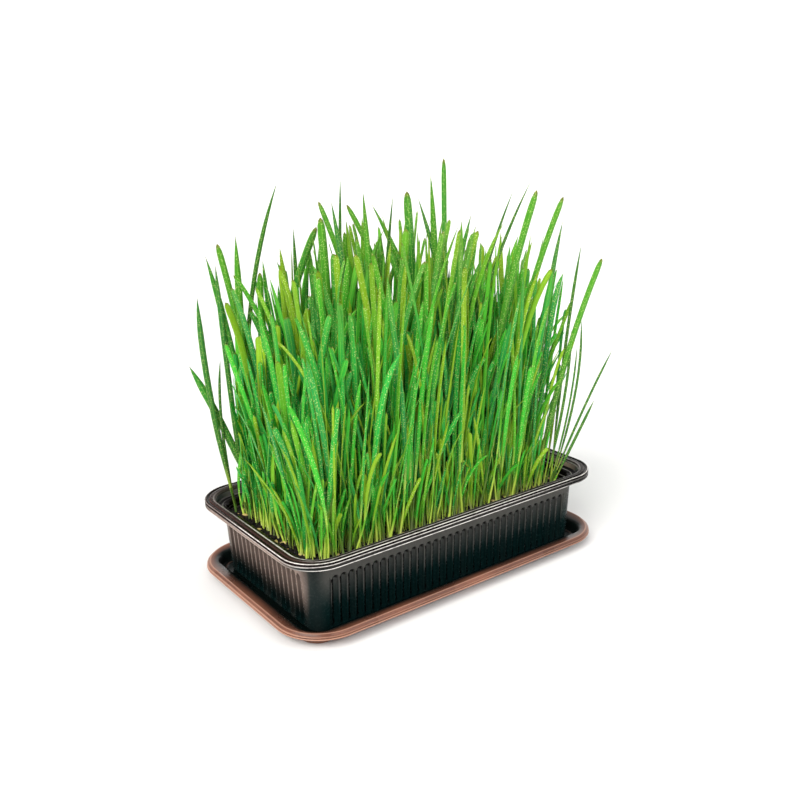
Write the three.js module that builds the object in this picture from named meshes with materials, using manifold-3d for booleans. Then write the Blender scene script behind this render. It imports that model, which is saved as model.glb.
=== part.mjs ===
// A tray of wheatgrass: a turf of blades on its root mat, in compost, in a fluted plastic tray
// that stands in a saucer. Millimetres, +Z up. The origin is the middle of the saucer's flat
// underside, and +X runs along the tray's long side.
import * as THREE from "three";
import { mergeVertices } from "three/addons/utils/BufferGeometryUtils.js";
import Module from "manifold-3d";

const wasm = await Module();
wasm.setup();

// Driving dimensions.
const TRAY_LENGTH = 200;
const TRAY_WIDTH = 118;
const TRAY_CORNER = 20;
const TRAY_BASE = 1.5; // underside of the tray, 0.3 clear of the saucer's floor
const TRAY_FLOOR = 3; // top of the tray's floor
const RIM_HEIGHT = 44; // outer edge of the rolled rim
const SAUCER_LENGTH = 206;
const SAUCER_WIDTH = 124;
const SAUCER_CORNER = 26;
const PAN_CORNER = 9; // the pan's corners are tighter than the rim's
const SAUCER_FLOOR = 1.2;
const CORNER_STEPS = 5;

// The flutes that stiffen the tray's walls.
const FLUTE_PITCH = 4.76;
const FLUTES_LONG = 33;
const FLUTES_SHORT = 16;
const FLUTE_DEPTH = 1.6;
const FLUTE_TOP = 31;
const WALL = 0.9; // thickness of the tray's wall behind a flute
const WALL_INSET = { foot: 12, top: 10.1 }; // from the rim's outer edge to the wall's face

// The compost and the turf.
const SOIL_TOP = 33;
const CLEAR = 0.4; // gap that touching pieces keep
const MAT_BASE = SOIL_TOP + CLEAR + 0.5;
const MAT_TOP = 36.5;
const ROOT_DEPTH = 1.6; // how far a stem is sunk in the mat
const ROOTS_LONG = 25;
const ROOTS_SHORT = 13;
const ROOT_REACH_X = 82; // outermost roots from the middle
const ROOT_REACH_Y = 42;
const ROOT_SCATTER = 1.8;
const STEM_RADIUS = 1;
const BLADE_THICKNESS = 0.9;
const SEEDS = 36;
const RANDOM_SEED = 11;
const TRIES = 12; // draws for a place before it stays bare
const CROSSING_REACH = 60; // blades that root further apart than this never meet

// Blades that stand out of the sward, each with its root, its tip and its width.
const OUTLYING_BLADES = [
  { root: [-79, 40], tip: [-94, 50, 155], width: 4 },
  { root: [-72, 34], tip: [-99, 53, 118], width: 6.5 },
  { root: [-69, 36], tip: [-86, 47, 175], width: 5 },
  { root: [-62, 34], tip: [-77, 43, 181], width: 5 },
  { root: [-71, 42], tip: [-51, 30, 211], width: 4 },
  { root: [-54, 38], tip: [-33, 24, 187], width: 5.5 },
  { root: [-36, 14], tip: [-37, 15, 193], width: 6 },
  { root: [-22, 1], tip: [-33, 9, 201], width: 5 },
  { root: [-15, -4], tip: [-20, -1, 206], width: 5 },
  { root: [10, -7], tip: [5, -4, 204], width: 6.5 },
  { root: [20, -15], tip: [21, -15, 220], width: 4.5 },
  { root: [31, 2], tip: [27, 5, 211], width: 5 },
  { root: [29, -9], tip: [56, -28, 203], width: 4 },
  { root: [27, -32], tip: [52, -50, 204], width: 5.5 },
  { root: [43, -25], tip: [73, -47, 199], width: 5.5 },
  { root: [65, -33], tip: [77, -44, 186], width: 4.5 },
  { root: [70, -38], tip: [93, -58, 166], width: 5.5 },
  { root: [76, -39], tip: [104, -59, 115], width: 4 },
  { root: [80, -41], tip: [91, -59, 88], width: 4 },
];
const OUTLYING_TURN = -0.6; // they are seen flat on from the tray's front left
const OUTLYING_BOW = 0.3;

// The sward stands tallest over the middle of the tray and leans outwards a little.
const SWARD_HEIGHT = 152;
const SWARD_DROP = 54; // how much lower it is at the outermost roots
const LEAN = { x: 3, outX: 0.08, outY: 0.1, scatter: 15 };

function randomFrom(seed) {
  let state = seed;
  return (low = 0, high = 1) => {
    state = (state * 1664525 + 1013904223) % 4294967296;
    return low + ((high - low) * state) / 4294967296;
  };
}

// A closed geometry as a solid that can be joined and cut.
function solidOf(geometry) {
  geometry.deleteAttribute("normal");
  geometry.deleteAttribute("uv");
  const merged = mergeVertices(geometry, 1e-4);
  return new wasm.Manifold(
    new wasm.Mesh({
      numProp: 3,
      vertProperties: merged.attributes.position.array,
      triVerts: new Uint32Array(merged.index.array),
    }),
  );
}

function meshOf(name, solid, material) {
  const { vertProperties, triVerts } = solid.getMesh();
  const geometry = new THREE.BufferGeometry()
    .setAttribute("position", new THREE.BufferAttribute(vertProperties, 3))
    .setIndex(new THREE.BufferAttribute(triVerts, 1));
  geometry.computeVertexNormals();
  const mesh = new THREE.Mesh(geometry, material);
  mesh.name = name;
  return mesh;
}

// Stations round a rounded rectangle, anticlockwise: arcs at the four corners, and, on a fluted outline,
// a ridge and a valley for each flute along the straight sides.
function outlineStations(fluted) {
  const stations = [];
  const signs = [[1, 1], [-1, 1], [-1, -1], [1, -1]];
  signs.forEach(([sx, sy], corner) => {
    for (let i = 0; i <= CORNER_STEPS; i++) {
      stations.push({ sx, sy, angle: (corner + i / CORNER_STEPS) * (Math.PI / 2) });
    }
    if (!fluted) return;
    const flutes = corner % 2 === 0 ? FLUTES_LONG : FLUTES_SHORT;
    const angle = (corner + 1) * (Math.PI / 2);
    for (let m = 0; m <= 2 * flutes; m++) {
      stations.push({ angle, along: (m - flutes) * (FLUTE_PITCH / 2), valley: m % 2 });
    }
  });
  return stations;
}

// The point of a station on a rounded rectangle of this size, set in by depth where it is a valley.
function outlinePoint(station, { length, width, radius, z, depth = 0 }) {
  const { angle, along, valley } = station;
  const nx = Math.cos(angle);
  const ny = Math.sin(angle);
  if (along !== undefined) {
    const set = valley * depth;
    return [nx * (length / 2 - set) - ny * along, ny * (width / 2 - set) + nx * along, z];
  }
  return [
    station.sx * (length / 2 - radius) + nx * radius,
    station.sy * (width / 2 - radius) + ny * radius,
    z,
  ];
}

// A rounded rectangle set in from the tray's or the saucer's outer edge.
function trayRing(inset, z, depth = 0) {
  const radius = Math.max(TRAY_CORNER - inset, 2);
  return { length: TRAY_LENGTH - 2 * inset, width: TRAY_WIDTH - 2 * inset, radius, z, depth };
}

function saucerRing(inset, z, radius = SAUCER_CORNER - inset) {
  return { length: SAUCER_LENGTH - 2 * inset, width: SAUCER_WIDTH - 2 * inset, radius, z };
}

// A cylinder reshaped ring by ring, from the lowest up: place(ring, side) gives each corner. Both ends are
// capped, and a pointed one closes on the last ring.
function reshapedCylinder(rings, sides, place, pointed = false) {
  const geometry = new THREE.CylinderGeometry(pointed ? 0 : 1, 1, 1, sides, rings - 1);
  const position = geometry.attributes.position;
  const middle = (ring) => {
    const sum = [0, 0, 0];
    for (let side = 0; side < sides; side++) {
      place(ring, side).forEach((value, axis) => (sum[axis] += value / sides));
    }
    return sum;
  };
  for (let i = 0; i < position.count; i++) {
    const x = position.getX(i);
    const z = position.getZ(i);
    const ring = Math.round((position.getY(i) + 0.5) * (rings - 1));
    const turn = Math.round((Math.atan2(x, z) / (2 * Math.PI)) * sides);
    const point = Math.hypot(x, z) < 0.01 ? middle(ring) : place(ring, (turn + sides) % sides);
    position.setXYZ(i, ...point);
  }
  return solidOf(geometry);
}

function loft(rings, stations) {
  return reshapedCylinder(rings.length, stations.length, (ring, side) =>
    outlinePoint(stations[side], rings[ring]),
  );
}

// A profile of rings carried round the outline: a torus reshaped from its outermost point over the top.
function sweep(rings, stations) {
  const geometry = new THREE.TorusGeometry(2, 1, rings.length, stations.length);
  const across = stations.length + 1;
  const position = geometry.attributes.position;
  for (let i = 0; i < position.count; i++) {
    const ring = rings[Math.floor(i / across) % rings.length];
    position.setXYZ(i, ...outlinePoint(stations[(i % across) % stations.length], ring));
  }
  return solidOf(geometry);
}

const plainOutline = outlineStations(false);
const flutedOutline = outlineStations(true);

function buildSaucer() {
  const rim = [
    saucerRing(0, 6.3),
    saucerRing(0.6, 7.3),
    saucerRing(4, 8.6),
    saucerRing(7.4, 8.2, 15),
    saucerRing(8.8, 6.8, 11),
    saucerRing(10.2, SAUCER_FLOOR, PAN_CORNER),
    saucerRing(10.4, 0.4, PAN_CORNER),
    saucerRing(9, 0.4, PAN_CORNER),
    saucerRing(7.6, 5.6, 14),
    saucerRing(3, 6.6),
    saucerRing(1, 5.2),
  ];
  const pan = [
    saucerRing(9.6, 0, PAN_CORNER),
    saucerRing(8.8, 0.6, PAN_CORNER),
    saucerRing(9.2, SAUCER_FLOOR, PAN_CORNER),
  ];
  return sweep(rim, plainOutline).add(loft(pan, plainOutline));
}

function buildTray() {
  const top = RIM_HEIGHT;
  const rim = [
    trayRing(0, top - 0.2),
    trayRing(0.5, top + 0.5),
    trayRing(2.8, top + 0.9),
    trayRing(5.2, top + 0.5),
    trayRing(5.8, top - 0.6),
    trayRing(6.3, top - 3.2),
    trayRing(11.3, top - 4),
    trayRing(11.9, top - 5.2),
    trayRing(10.4, top - 5.6),
    trayRing(9.6, top - 4.9),
    trayRing(7.4, top - 4.2),
    trayRing(6.9, top - 0.9),
    trayRing(2.2, top - 0.5),
    trayRing(2.2, top - 3.5),
    trayRing(1.2, top - 3.5),
    trayRing(1.2, top - 2),
    trayRing(1.9, top - 1.6),
    trayRing(0.4, top - 1.1),
  ];
  const walls = [
    trayRing(WALL_INSET.foot + 0.8, TRAY_BASE),
    trayRing(WALL_INSET.foot, TRAY_BASE + 1.4, FLUTE_DEPTH),
    trayRing(WALL_INSET.top + 0.4, FLUTE_TOP - 1.4, FLUTE_DEPTH),
    trayRing(WALL_INSET.top + 0.3, FLUTE_TOP),
    trayRing(WALL_INSET.top, top - 4.8),
  ];
  const inside = loft([insideRing(TRAY_FLOOR), insideRing(top)], plainOutline);
  const body = loft(walls, flutedOutline).subtract(inside);
  return drained(body.add(sweep(rim, plainOutline)));
}

// Drain holes through the tray's floor, in two rows.
function drained(tray) {
  const hole = { radius: 2.5, sides: 8, rows: [-22, 22], columns: [-60, -20, 20, 60] };
  let made = tray;
  for (const x of hole.columns) {
    for (const y of hole.rows) {
      const cutter = new THREE.CylinderGeometry(hole.radius, hole.radius, 8, hole.sides);
      cutter.rotateX(Math.PI / 2).translate(x, y, TRAY_FLOOR);
      made = made.subtract(solidOf(cutter));
    }
  }
  return made;
}

// The inside of the tray's walls at a height, less a gap all round.
function insideRing(z, gap = 0) {
  const share = (z - TRAY_FLOOR) / (RIM_HEIGHT - TRAY_FLOOR);
  const inset = THREE.MathUtils.lerp(WALL_INSET.foot, WALL_INSET.top, share);
  return trayRing(inset + FLUTE_DEPTH + WALL + gap, z);
}

function buildSoil() {
  return loft([insideRing(TRAY_FLOOR + CLEAR, CLEAR), insideRing(SOIL_TOP, CLEAR)], plainOutline);
}

// The root mat: a felt of roots and crumbs whose top rises and falls a little.
function buildMat() {
  const edge = insideRing(MAT_TOP, CLEAR);
  const shares = [1, 1, 0.93, 0.8, 0.6, 0.35];
  const relief = { height: 0.5, alongX: 0.21, alongY: 0.33, edge: -0.6 };
  return reshapedCylinder(shares.length, plainOutline.length, (ring, side) => {
    const [x, y] = outlinePoint(plainOutline[side], edge);
    const wave = Math.sin(x * relief.alongX + ring) * Math.cos(y * relief.alongY - ring);
    const rise = ring > 1 ? relief.height * wave : relief.edge;
    const z = ring === 0 ? MAT_BASE : MAT_TOP + rise;
    return [x * shares[ring], y * shares[ring], z];
  });
}

// A grain of wheat lying on the mat, half sunk in it.
function buildGrain(x, y, turn) {
  const grain = new THREE.OctahedronGeometry(1);
  grain.scale(3.4, 1.7, 1.5).rotateZ(turn).translate(x, y, MAT_TOP + 0.3);
  return solidOf(grain);
}

// One stem and its blade, keeled like a boat: each ring is a triangle with two corners across the blade
// and one on the keel. It widens out of the stem, keeps its width and closes to a point at the tip.
function buildBlade({ root, tip, width, turn, bow }) {
  const rings = [
    { share: 0, half: STEM_RADIUS, keel: 1.5 * STEM_RADIUS },
    { share: 0.3, half: width / 2, keel: BLADE_THICKNESS },
    { share: 0.84, half: width * 0.43, keel: BLADE_THICKNESS },
    { share: 1, half: 0, keel: 0 },
  ];
  const base = new THREE.Vector3(...root);
  const end = new THREE.Vector3(...tip);
  const middle = base.clone().lerp(end, bow).setZ((base.z + end.z) / 2);
  const path = new THREE.QuadraticBezierCurve3(base, middle, end);
  const across = new THREE.Vector3(Math.cos(turn), Math.sin(turn), 0);
  const keelward = new THREE.Vector3(Math.sin(turn), -Math.cos(turn), 0);
  return reshapedCylinder(rings.length, 3, (ring, side) => {
    const { share, half, keel } = rings[ring];
    const point = path.getPoint(share);
    if (side === 2) point.addScaledVector(keelward, keel);
    else point.addScaledVector(across, side === 0 ? half : -half);
    return point.toArray();
  }, true);
}

// Where the seedlings root: on a grid, each a little off its place.
function rootGrid(random) {
  const roots = [];
  for (let i = 0; i < ROOTS_LONG; i++) {
    for (let j = 0; j < ROOTS_SHORT; j++) {
      const x = ROOT_REACH_X * ((2 * i) / (ROOTS_LONG - 1) - 1) + random(-ROOT_SCATTER, ROOT_SCATTER);
      const y = ROOT_REACH_Y * ((2 * j) / (ROOTS_SHORT - 1) - 1) + random(-ROOT_SCATTER, ROOT_SCATTER);
      roots.push([x, y]);
    }
  }
  return roots;
}

function outlyingBlade({ root: [x, y], tip, width }) {
  return { root: [x, y, MAT_TOP - ROOT_DEPTH], tip, width, turn: OUTLYING_TURN, bow: OUTLYING_BOW };
}

// A blade of the sward at this root, each time with a new height, lean and turn. One in five is a short one.
function swardBlade([x, y], random) {
  const tallest = SWARD_HEIGHT - SWARD_DROP * Math.abs(x / ROOT_REACH_X) ** 2.5;
  const share = random() < 0.2 ? random(0.4, 0.7) : random(0.7, 1);
  const stray = () => random(-LEAN.scatter, LEAN.scatter);
  const quarterTurn = random() < 0.3 ? Math.PI / 2 : 0;
  return {
    root: [x, y, MAT_TOP - ROOT_DEPTH],
    tip: [
      x + (LEAN.x + LEAN.outX * x + stray()) * share,
      y + (LEAN.outY * y + stray()) * share,
      MAT_TOP + tallest * share,
    ],
    width: random(5.5, 8),
    turn: random(-0.9, 0.9) + quarterTurn,
    bow: random(0.1, 0.5),
  };
}

// Plants the outlying blades and then the sward, each blade clear of those that already stand, and fuses
// them and the grains to the mat.
function buildTurf() {
  const random = randomFrom(RANDOM_SEED);
  const standing = [];
  const clearOf = (solid, [x, y]) =>
    standing.every(
      (other) =>
        Math.hypot(other.root[0] - x, other.root[1] - y) > CROSSING_REACH ||
        other.solid.intersect(solid).isEmpty(),
    );
  const plant = (blade) => {
    const solid = buildBlade(blade);
    if (!clearOf(solid, blade.root)) return false;
    standing.push({ root: blade.root, solid });
    return true;
  };
  OUTLYING_BLADES.forEach((blade) => plant(outlyingBlade(blade)));
  for (const root of rootGrid(random)) {
    let left = TRIES;
    while (left > 0 && !plant(swardBlade(root, random))) left--;
  }
  const grains = [];
  for (let i = 0; i < SEEDS; i++) {
    const x = random(-1, 1) * ROOT_REACH_X;
    const y = random(-1, 1) * ROOT_REACH_Y;
    grains.push(buildGrain(x, y, random(0, Math.PI)));
  }
  return wasm.Manifold.union([buildMat(), ...standing.map(({ solid }) => solid), ...grains]);
}

const brownPlastic = new THREE.MeshStandardMaterial({ color: 0x8a5440, roughness: 0.45, metalness: 0 });
const darkPlastic = new THREE.MeshStandardMaterial({ color: 0x2e2826, roughness: 0.4, metalness: 0 });
const compost = new THREE.MeshStandardMaterial({ color: 0x1d1712, roughness: 1, metalness: 0 });
const leafGreen = new THREE.MeshStandardMaterial({ color: 0x3f9a2e, roughness: 0.5, metalness: 0 });

const wheatgrassTray = new THREE.Group();
wheatgrassTray.add(meshOf("saucer", buildSaucer(), brownPlastic));
wheatgrassTray.add(meshOf("tray", buildTray(), darkPlastic));
wheatgrassTray.add(meshOf("soil", buildSoil(), compost));
wheatgrassTray.add(meshOf("turf", buildTurf(), leafGreen));

export default wheatgrassTray;
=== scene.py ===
"""A tray of growing wheatgrass, dressed leaf by leaf: blades, stems, dew, grain and compost in a fluted
plastic tray, which stands in its drip saucer."""
import logging
import math
import random
from dataclasses import dataclass, field
from enum import Enum
from typing import Any, Callable, Sequence

import bpy
from mathutils import Matrix, Vector, noise


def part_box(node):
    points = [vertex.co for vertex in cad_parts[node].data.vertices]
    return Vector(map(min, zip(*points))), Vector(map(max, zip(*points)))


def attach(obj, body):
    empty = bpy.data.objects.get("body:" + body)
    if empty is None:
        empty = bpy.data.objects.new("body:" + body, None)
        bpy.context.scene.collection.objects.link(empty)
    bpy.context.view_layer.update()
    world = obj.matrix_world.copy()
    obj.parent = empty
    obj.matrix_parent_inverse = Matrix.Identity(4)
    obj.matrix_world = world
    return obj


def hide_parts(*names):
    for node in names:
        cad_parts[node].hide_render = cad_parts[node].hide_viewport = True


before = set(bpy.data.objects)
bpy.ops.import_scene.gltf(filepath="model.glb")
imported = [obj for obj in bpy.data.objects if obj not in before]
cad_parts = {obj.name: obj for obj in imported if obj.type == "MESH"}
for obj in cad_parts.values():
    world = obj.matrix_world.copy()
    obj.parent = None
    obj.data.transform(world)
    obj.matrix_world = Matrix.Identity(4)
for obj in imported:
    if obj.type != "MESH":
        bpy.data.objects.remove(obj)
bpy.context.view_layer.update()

BODY = "root"
MM = 0.001
LOG = logging.getLogger("wheatgrass")

# The middle of anything that runs from 0 to 1.
MIDDLE = 0.5

# The Mix node's own numbers for its two colour inputs and its colour output.
MIX_FIRST, MIX_SECOND, MIX_RESULT = 6, 7, 2

Colour = tuple[float, float, float, float]
Point = tuple[float, float, float]

# Where a change sets in and where it is complete, then its values there if they aren't 0 and 1.
Fade = tuple[float, ...]


def tint(red: int, green: int, blue: int) -> Colour:
    """A colour as a shader takes it.

    Args:
        red: How red it looks, from 0 to 255.
        green: How green it looks, from 0 to 255.
        blue: How blue it looks, from 0 to 255.

    Returns:
        The linear colour, with an alpha of 1.
    """
    def linear(value: int) -> float:
        """One channel, with the display's standard curve taken out."""
        share = value / 255
        return share / 12.92 if share <= 0.04045 else ((share + 0.055) / 1.055) ** 2.4

    return (linear(red), linear(green), linear(blue), 1.0)


def mixed(low: float, high: float, share: float) -> float:
    """The number that lies this share of the way from low to high."""
    return low + (high - low) * share


def eased(low: float, high: float, value: float) -> float:
    """How far value has come from low to high, from 0 to 1, with a soft start and end."""
    share = min(max((value - low) / (high - low), 0.0), 1.0)
    return share * share * (3 - 2 * share)


# ---------------------------------------------------------------------------------------------------
# Node trees
# ---------------------------------------------------------------------------------------------------


class Wiring:
    """A node tree that is laid out one node at a time."""

    tree: bpy.types.NodeTree

    def node(self, kind: str, inputs: dict[Any, Any] | None = None, **settings: Any) -> bpy.types.Node:
        """Adds a node.

        Args:
            kind: The node's type.
            inputs: What goes in each input, by name or number: a socket to link, or a value.
            settings: The node's own properties.

        Returns:
            The new node.
        """
        made = self.tree.nodes.new(kind)
        for name, value in settings.items():
            setattr(made, name, value)
        for name, value in (inputs or {}).items():
            self.plug(value, made.inputs[name])
        return made

    def plug(self, value: Any, socket: bpy.types.NodeSocket) -> None:
        """Puts a value in a socket.

        Args:
            value: A socket, which is linked, or a plain value, which is set.
            socket: The input that takes it.
        """
        if isinstance(value, bpy.types.NodeSocket):
            self.tree.links.new(value, socket)
        else:
            socket.default_value = value

    def sum(self, operation: str, first: Any, second: Any = 0.0, clamp: bool = False) -> bpy.types.NodeSocket:
        """Does a sum with a Math node.

        Args:
            operation: Its operation, such as ADD.
            first: Its first number or socket.
            second: Its second number or socket.
            clamp: Whether the result stays from 0 to 1.

        Returns:
            The socket with the result.
        """
        settings = {"operation": operation, "use_clamp": clamp}
        made = self.node("ShaderNodeMath", {0: first, 1: second}, **settings)
        return made.outputs[0]

    def product(self, first: Any, second: Any, clamp: bool = False) -> bpy.types.NodeSocket:
        """One number times another; with clamp it stays from 0 to 1."""
        return self.sum("MULTIPLY", first, second, clamp)

    def span(self, value: Any, low: float, high: float, start: float = 0.0, end: float = 1.0) -> Any:
        """Eases a number out of one range into another.

        Args:
            value: The number or its socket.
            low: Where its range starts.
            high: Where its range ends; below low for a fall.
            start: The result at low.
            end: The result at high.

        Returns:
            The socket with the result.
        """
        inputs = {"Value": value, "From Min": low, "From Max": high, "To Min": start, "To Max": end}
        made = self.node("ShaderNodeMapRange", inputs, interpolation_type="SMOOTHSTEP")
        return made.outputs["Result"]


@dataclass(frozen=True)
class Grain:
    """Cloudy noise: how many clouds it has to the metre, its finer layers, and each axis's factor."""

    scale: float
    detail: float = 3.0
    stretch: Point = (1, 1, 1)


class Shader(Wiring):
    """A material with one Principled surface."""

    def __init__(self, name: str, gloss: float) -> None:
        """Starts the material.

        Args:
            name: The material's name.
            gloss: The surface's specular level.
        """
        self.material = bpy.data.materials.new(name)
        self.material.use_nodes = True
        self.tree = self.material.node_tree
        self.surface = self.tree.nodes["Principled BSDF"]
        self.set("Specular IOR Level", gloss)

    def set(self, socket: str, value: Any) -> None:
        """Puts a value or a socket in one of the surface's own inputs."""
        self.plug(value, self.surface.inputs[socket])

    def place(self) -> bpy.types.NodeSocket:
        """Where a point is on the object, in metres."""
        return self.node("ShaderNodeTexCoord").outputs["Object"]

    def carried(self, name: str) -> bpy.types.NodeSocket:
        """A number that the mesh carries under this name."""
        return self.node("ShaderNodeAttribute", attribute_name=name).outputs["Fac"]

    def grain(self, grain: Grain) -> bpy.types.NodeSocket:
        """Cloudy noise from 0 to 1.

        Args:
            grain: What the noise is like.

        Returns:
            The socket with the noise.
        """
        spot = self.node("ShaderNodeMapping", {"Vector": self.place(), "Scale": grain.stretch})
        inputs = {"Vector": spot.outputs[0], "Scale": grain.scale, "Detail": grain.detail}
        return self.node("ShaderNodeTexNoise", inputs).outputs["Fac"]

    def blend(self, share: Any, first: Any, second: Any) -> bpy.types.NodeSocket:
        """The socket with two colours or sockets mixed; share is how much of the second there is."""
        inputs = {0: share, MIX_FIRST: first, MIX_SECOND: second}
        return self.node("ShaderNodeMix", inputs, data_type="RGBA").outputs[MIX_RESULT]

    def layered(self, base: Any, layers: Sequence[tuple[Any, Any]]) -> Any:
        """A colour with others laid over it in turn.

        Args:
            base: A colour or a socket.
            layers: For each layer, how much of it there is and its colour or socket.

        Returns:
            The socket with the mixed colour.
        """
        for share, colour in layers:
            base = self.blend(share, base, colour)
        return base

    def emboss(self, height: Any, depth: float, strength: float = 1.0) -> None:
        """Gives the surface a fine relief.

        Args:
            height: The relief, from 0 to 1.
            depth: How deep it is, in metres.
            strength: How strongly it is shaded.
        """
        inputs = {"Height": height, "Distance": depth, "Strength": strength}
        relief = self.node("ShaderNodeBump", inputs)
        self.set("Normal", relief.outputs["Normal"])


class Grower(Wiring):
    """A Geometry Nodes tree with named inputs, which ends in real geometry with its finish on."""

    def __init__(self, name: str) -> None:
        """Starts the tree with a geometry input and output.

        Args:
            name: The tree's name.
        """
        self.tree = bpy.data.node_groups.new(name, "GeometryNodeTree")
        self.add_socket("Geometry", "NodeSocketGeometry", "INPUT")
        self.add_socket("Geometry", "NodeSocketGeometry", "OUTPUT")
        self.source = self.tree.nodes.new("NodeGroupInput")
        self.result = self.tree.nodes.new("NodeGroupOutput")

    def add_socket(self, name: str, kind: str, way: str) -> Any:
        """Adds a socket to the tree's outside."""
        return self.tree.interface.new_socket(name, in_out=way, socket_type=kind)

    def number(self, name: str, value: float) -> bpy.types.NodeSocket:
        """A named input that takes a number.

        Args:
            name: The input's name.
            value: What it is unless it is set.

        Returns:
            The socket that brings it into the tree.
        """
        kind = "NodeSocketInt" if isinstance(value, int) else "NodeSocketFloat"
        self.add_socket(name, kind, "INPUT").default_value = value
        return self.source.outputs[name]

    def carried(self, name: str) -> bpy.types.NodeSocket:
        """A number that the geometry carries under this name."""
        made = self.node("GeometryNodeInputNamedAttribute", {"Name": name}, data_type="FLOAT")
        return made.outputs["Attribute"]

    def keep(self, geometry: Any, name: str, value: Any) -> bpy.types.NodeSocket:
        """Lets the geometry's points carry a number.

        Args:
            geometry: The geometry.
            name: The name that the number goes by.
            value: The number or its socket.

        Returns:
            The socket with the geometry.
        """
        inputs = {"Geometry": geometry, "Name": name, "Value": value}
        made = self.node("GeometryNodeStoreNamedAttribute", inputs, data_type="FLOAT", domain="POINT")
        return made.outputs["Geometry"]

    def close(self, geometry: bpy.types.NodeSocket) -> None:
        """Ends the tree: smooth shading, real geometry and the finish.

        Args:
            geometry: What the tree has made.
        """
        self.add_socket("Finish", "NodeSocketMaterial", "INPUT")
        smooth = self.node("GeometryNodeSetShadeSmooth", {"Geometry": geometry})
        real = self.node("GeometryNodeRealizeInstances", {"Geometry": smooth.outputs[0]})
        inputs = {"Geometry": real.outputs[0], "Material": self.source.outputs["Finish"]}
        dressed = self.node("GeometryNodeSetMaterial", inputs)
        self.plug(dressed.outputs[0], self.result.inputs[0])

    def run(self, base: bpy.types.Object, name: str, values: dict[str, Any]) -> bpy.types.Object:
        """Grows the tree on a base and turns what comes out into a plain mesh.

        Args:
            base: The object that the tree works on.
            name: The new object's name.
            values: The named inputs' values.

        Returns:
            The new object, at the origin.
        """
        modifier = base.modifiers.new(self.tree.name, "NODES")
        modifier.node_group = self.tree
        for socket in self.tree.interface.items_tree:
            if socket.in_out == "INPUT" and socket.name in values:
                modifier[socket.identifier] = values[socket.name]
        graph = bpy.context.evaluated_depsgraph_get()
        settings = {"preserve_all_data_layers": True, "depsgraph": graph}
        grown = bpy.data.meshes.new_from_object(base.evaluated_get(graph), **settings)
        base.modifiers.remove(modifier)
        return add_object(name, grown)


def across_flute(wires: Wiring, phase: Any, half: Any) -> Any:
    """How far across the nearest flute a point lies: 0 in its middle, -1 and 1 at its edges.

    Args:
        wires: The tree or finish that asks.
        phase: How many flutes the point is from the first one.
        half: Half a flute's width, as a share of the pitch.

    Returns:
        The socket with the result.
    """
    nearest = wires.sum("ROUND", phase)
    return wires.sum("DIVIDE", wires.sum("SUBTRACT", phase, nearest), half)


def below_head(wires: Wiring, across: Any, height: Any, top: Any, radius: Any) -> Any:
    """How far a point lies below its flute's round head.

    Args:
        wires: The tree or finish that asks.
        across: How far across its flute the point lies.
        height: How high it is.
        top: How high the flute's head reaches.
        radius: The head's radius.

    Returns:
        The socket with the depth, which is below 0 outside the flute.
    """
    squared = wires.sum("MULTIPLY", across, across)
    arc = wires.sum("SQRT", wires.sum("SUBTRACT", 1.0, squared, clamp=True))
    fall = wires.sum("MULTIPLY", radius, wires.sum("SUBTRACT", 1.0, arc))
    return wires.sum("SUBTRACT", wires.sum("SUBTRACT", top, fall), height)


# ---------------------------------------------------------------------------------------------------
# Objects
# ---------------------------------------------------------------------------------------------------


def add_object(name: str, mesh: bpy.types.Mesh) -> bpy.types.Object:
    """Puts a mesh in the scene as an object at the origin.

    Args:
        name: The object's name.
        mesh: Its mesh.

    Returns:
        The object.
    """
    made = bpy.data.objects.new(name, mesh)
    bpy.context.scene.collection.objects.link(made)
    return made


def drop(*objects: bpy.types.Object) -> None:
    """Removes the bases that the finished pieces grew on."""
    for thing in objects:
        bpy.data.objects.remove(thing)


def install(piece: bpy.types.Object, slot: str, *nodes: str) -> None:
    """Makes a finished piece part of the object.

    Args:
        piece: The finished piece.
        slot: A slot's name; it is not used.
        nodes: The CAD nodes that it stands for.
    """
    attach(piece, BODY)
    if nodes:
        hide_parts(*nodes)
    piece.data.calc_loop_triangles()
    LOG.info("%s: %d triangles", piece.name, len(piece.data.loop_triangles))


# ---------------------------------------------------------------------------------------------------
# Finishes
# ---------------------------------------------------------------------------------------------------


@dataclass(frozen=True)
class Stripe:
    """A painted highlight line, or a dark line of painted shade, that runs round the rim.

    Its place is a point's inset plus its height over the tray's top, in millimetres, so it falls
    steadily from the crown's inner edge, over the bead, down to the skirt's lower edge. The first of
    each pair is for the long sides, the second for the short ones. Towards the tray's right end only
    the share named far is left of the line.
    """

    place: tuple[float, float]
    half: float
    share: tuple[float, float]
    far: float = 1.0


# Painted highlight lines round the rim.
HIGHLIGHT_LINES = (
    Stripe((5.6, 5.5), 0.4, (0.1, 0.9), 0.3),
    Stripe((3.8, 3.8), 0.4, (0.45, 0.0), 0.1),
    Stripe((1.3, 0.85), 0.45, (0.95, 0.95), 0.9),
    Stripe((-0.45, -1.15), 0.35, (0.8, 0.6), 0.15),
    Stripe((-2.5, -2.5), 0.3, (0.9, 0.2), 0.6),
)
# Dark lines of painted shade along the rim's crown, grooves and recesses.
RIM_SHADE_LINES = (
    Stripe((4.8, 4.3), 0.6, (0.7, 0.6)),
    Stripe((2.8, 2.2), 0.8, (0.9, 0.95)),
    Stripe((0.35, -0.15), 0.6, (0.95, 0.95)),
    Stripe((-1.6, -1.8), 0.8, (0.75, 0.1)),
)


# The height that the tray's rim is measured from.
TRAY_TOP = 44 * MM


@dataclass(frozen=True)
class Flutes:
    """The flutes' sizes, which the tray's shape and its finish share.

    The half width is a share of the pitch.
    """

    pitch: float = 4.76 * MM
    half: float = 0.36
    top: float = 31.4 * MM
    foot: float = 3.4 * MM


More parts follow.
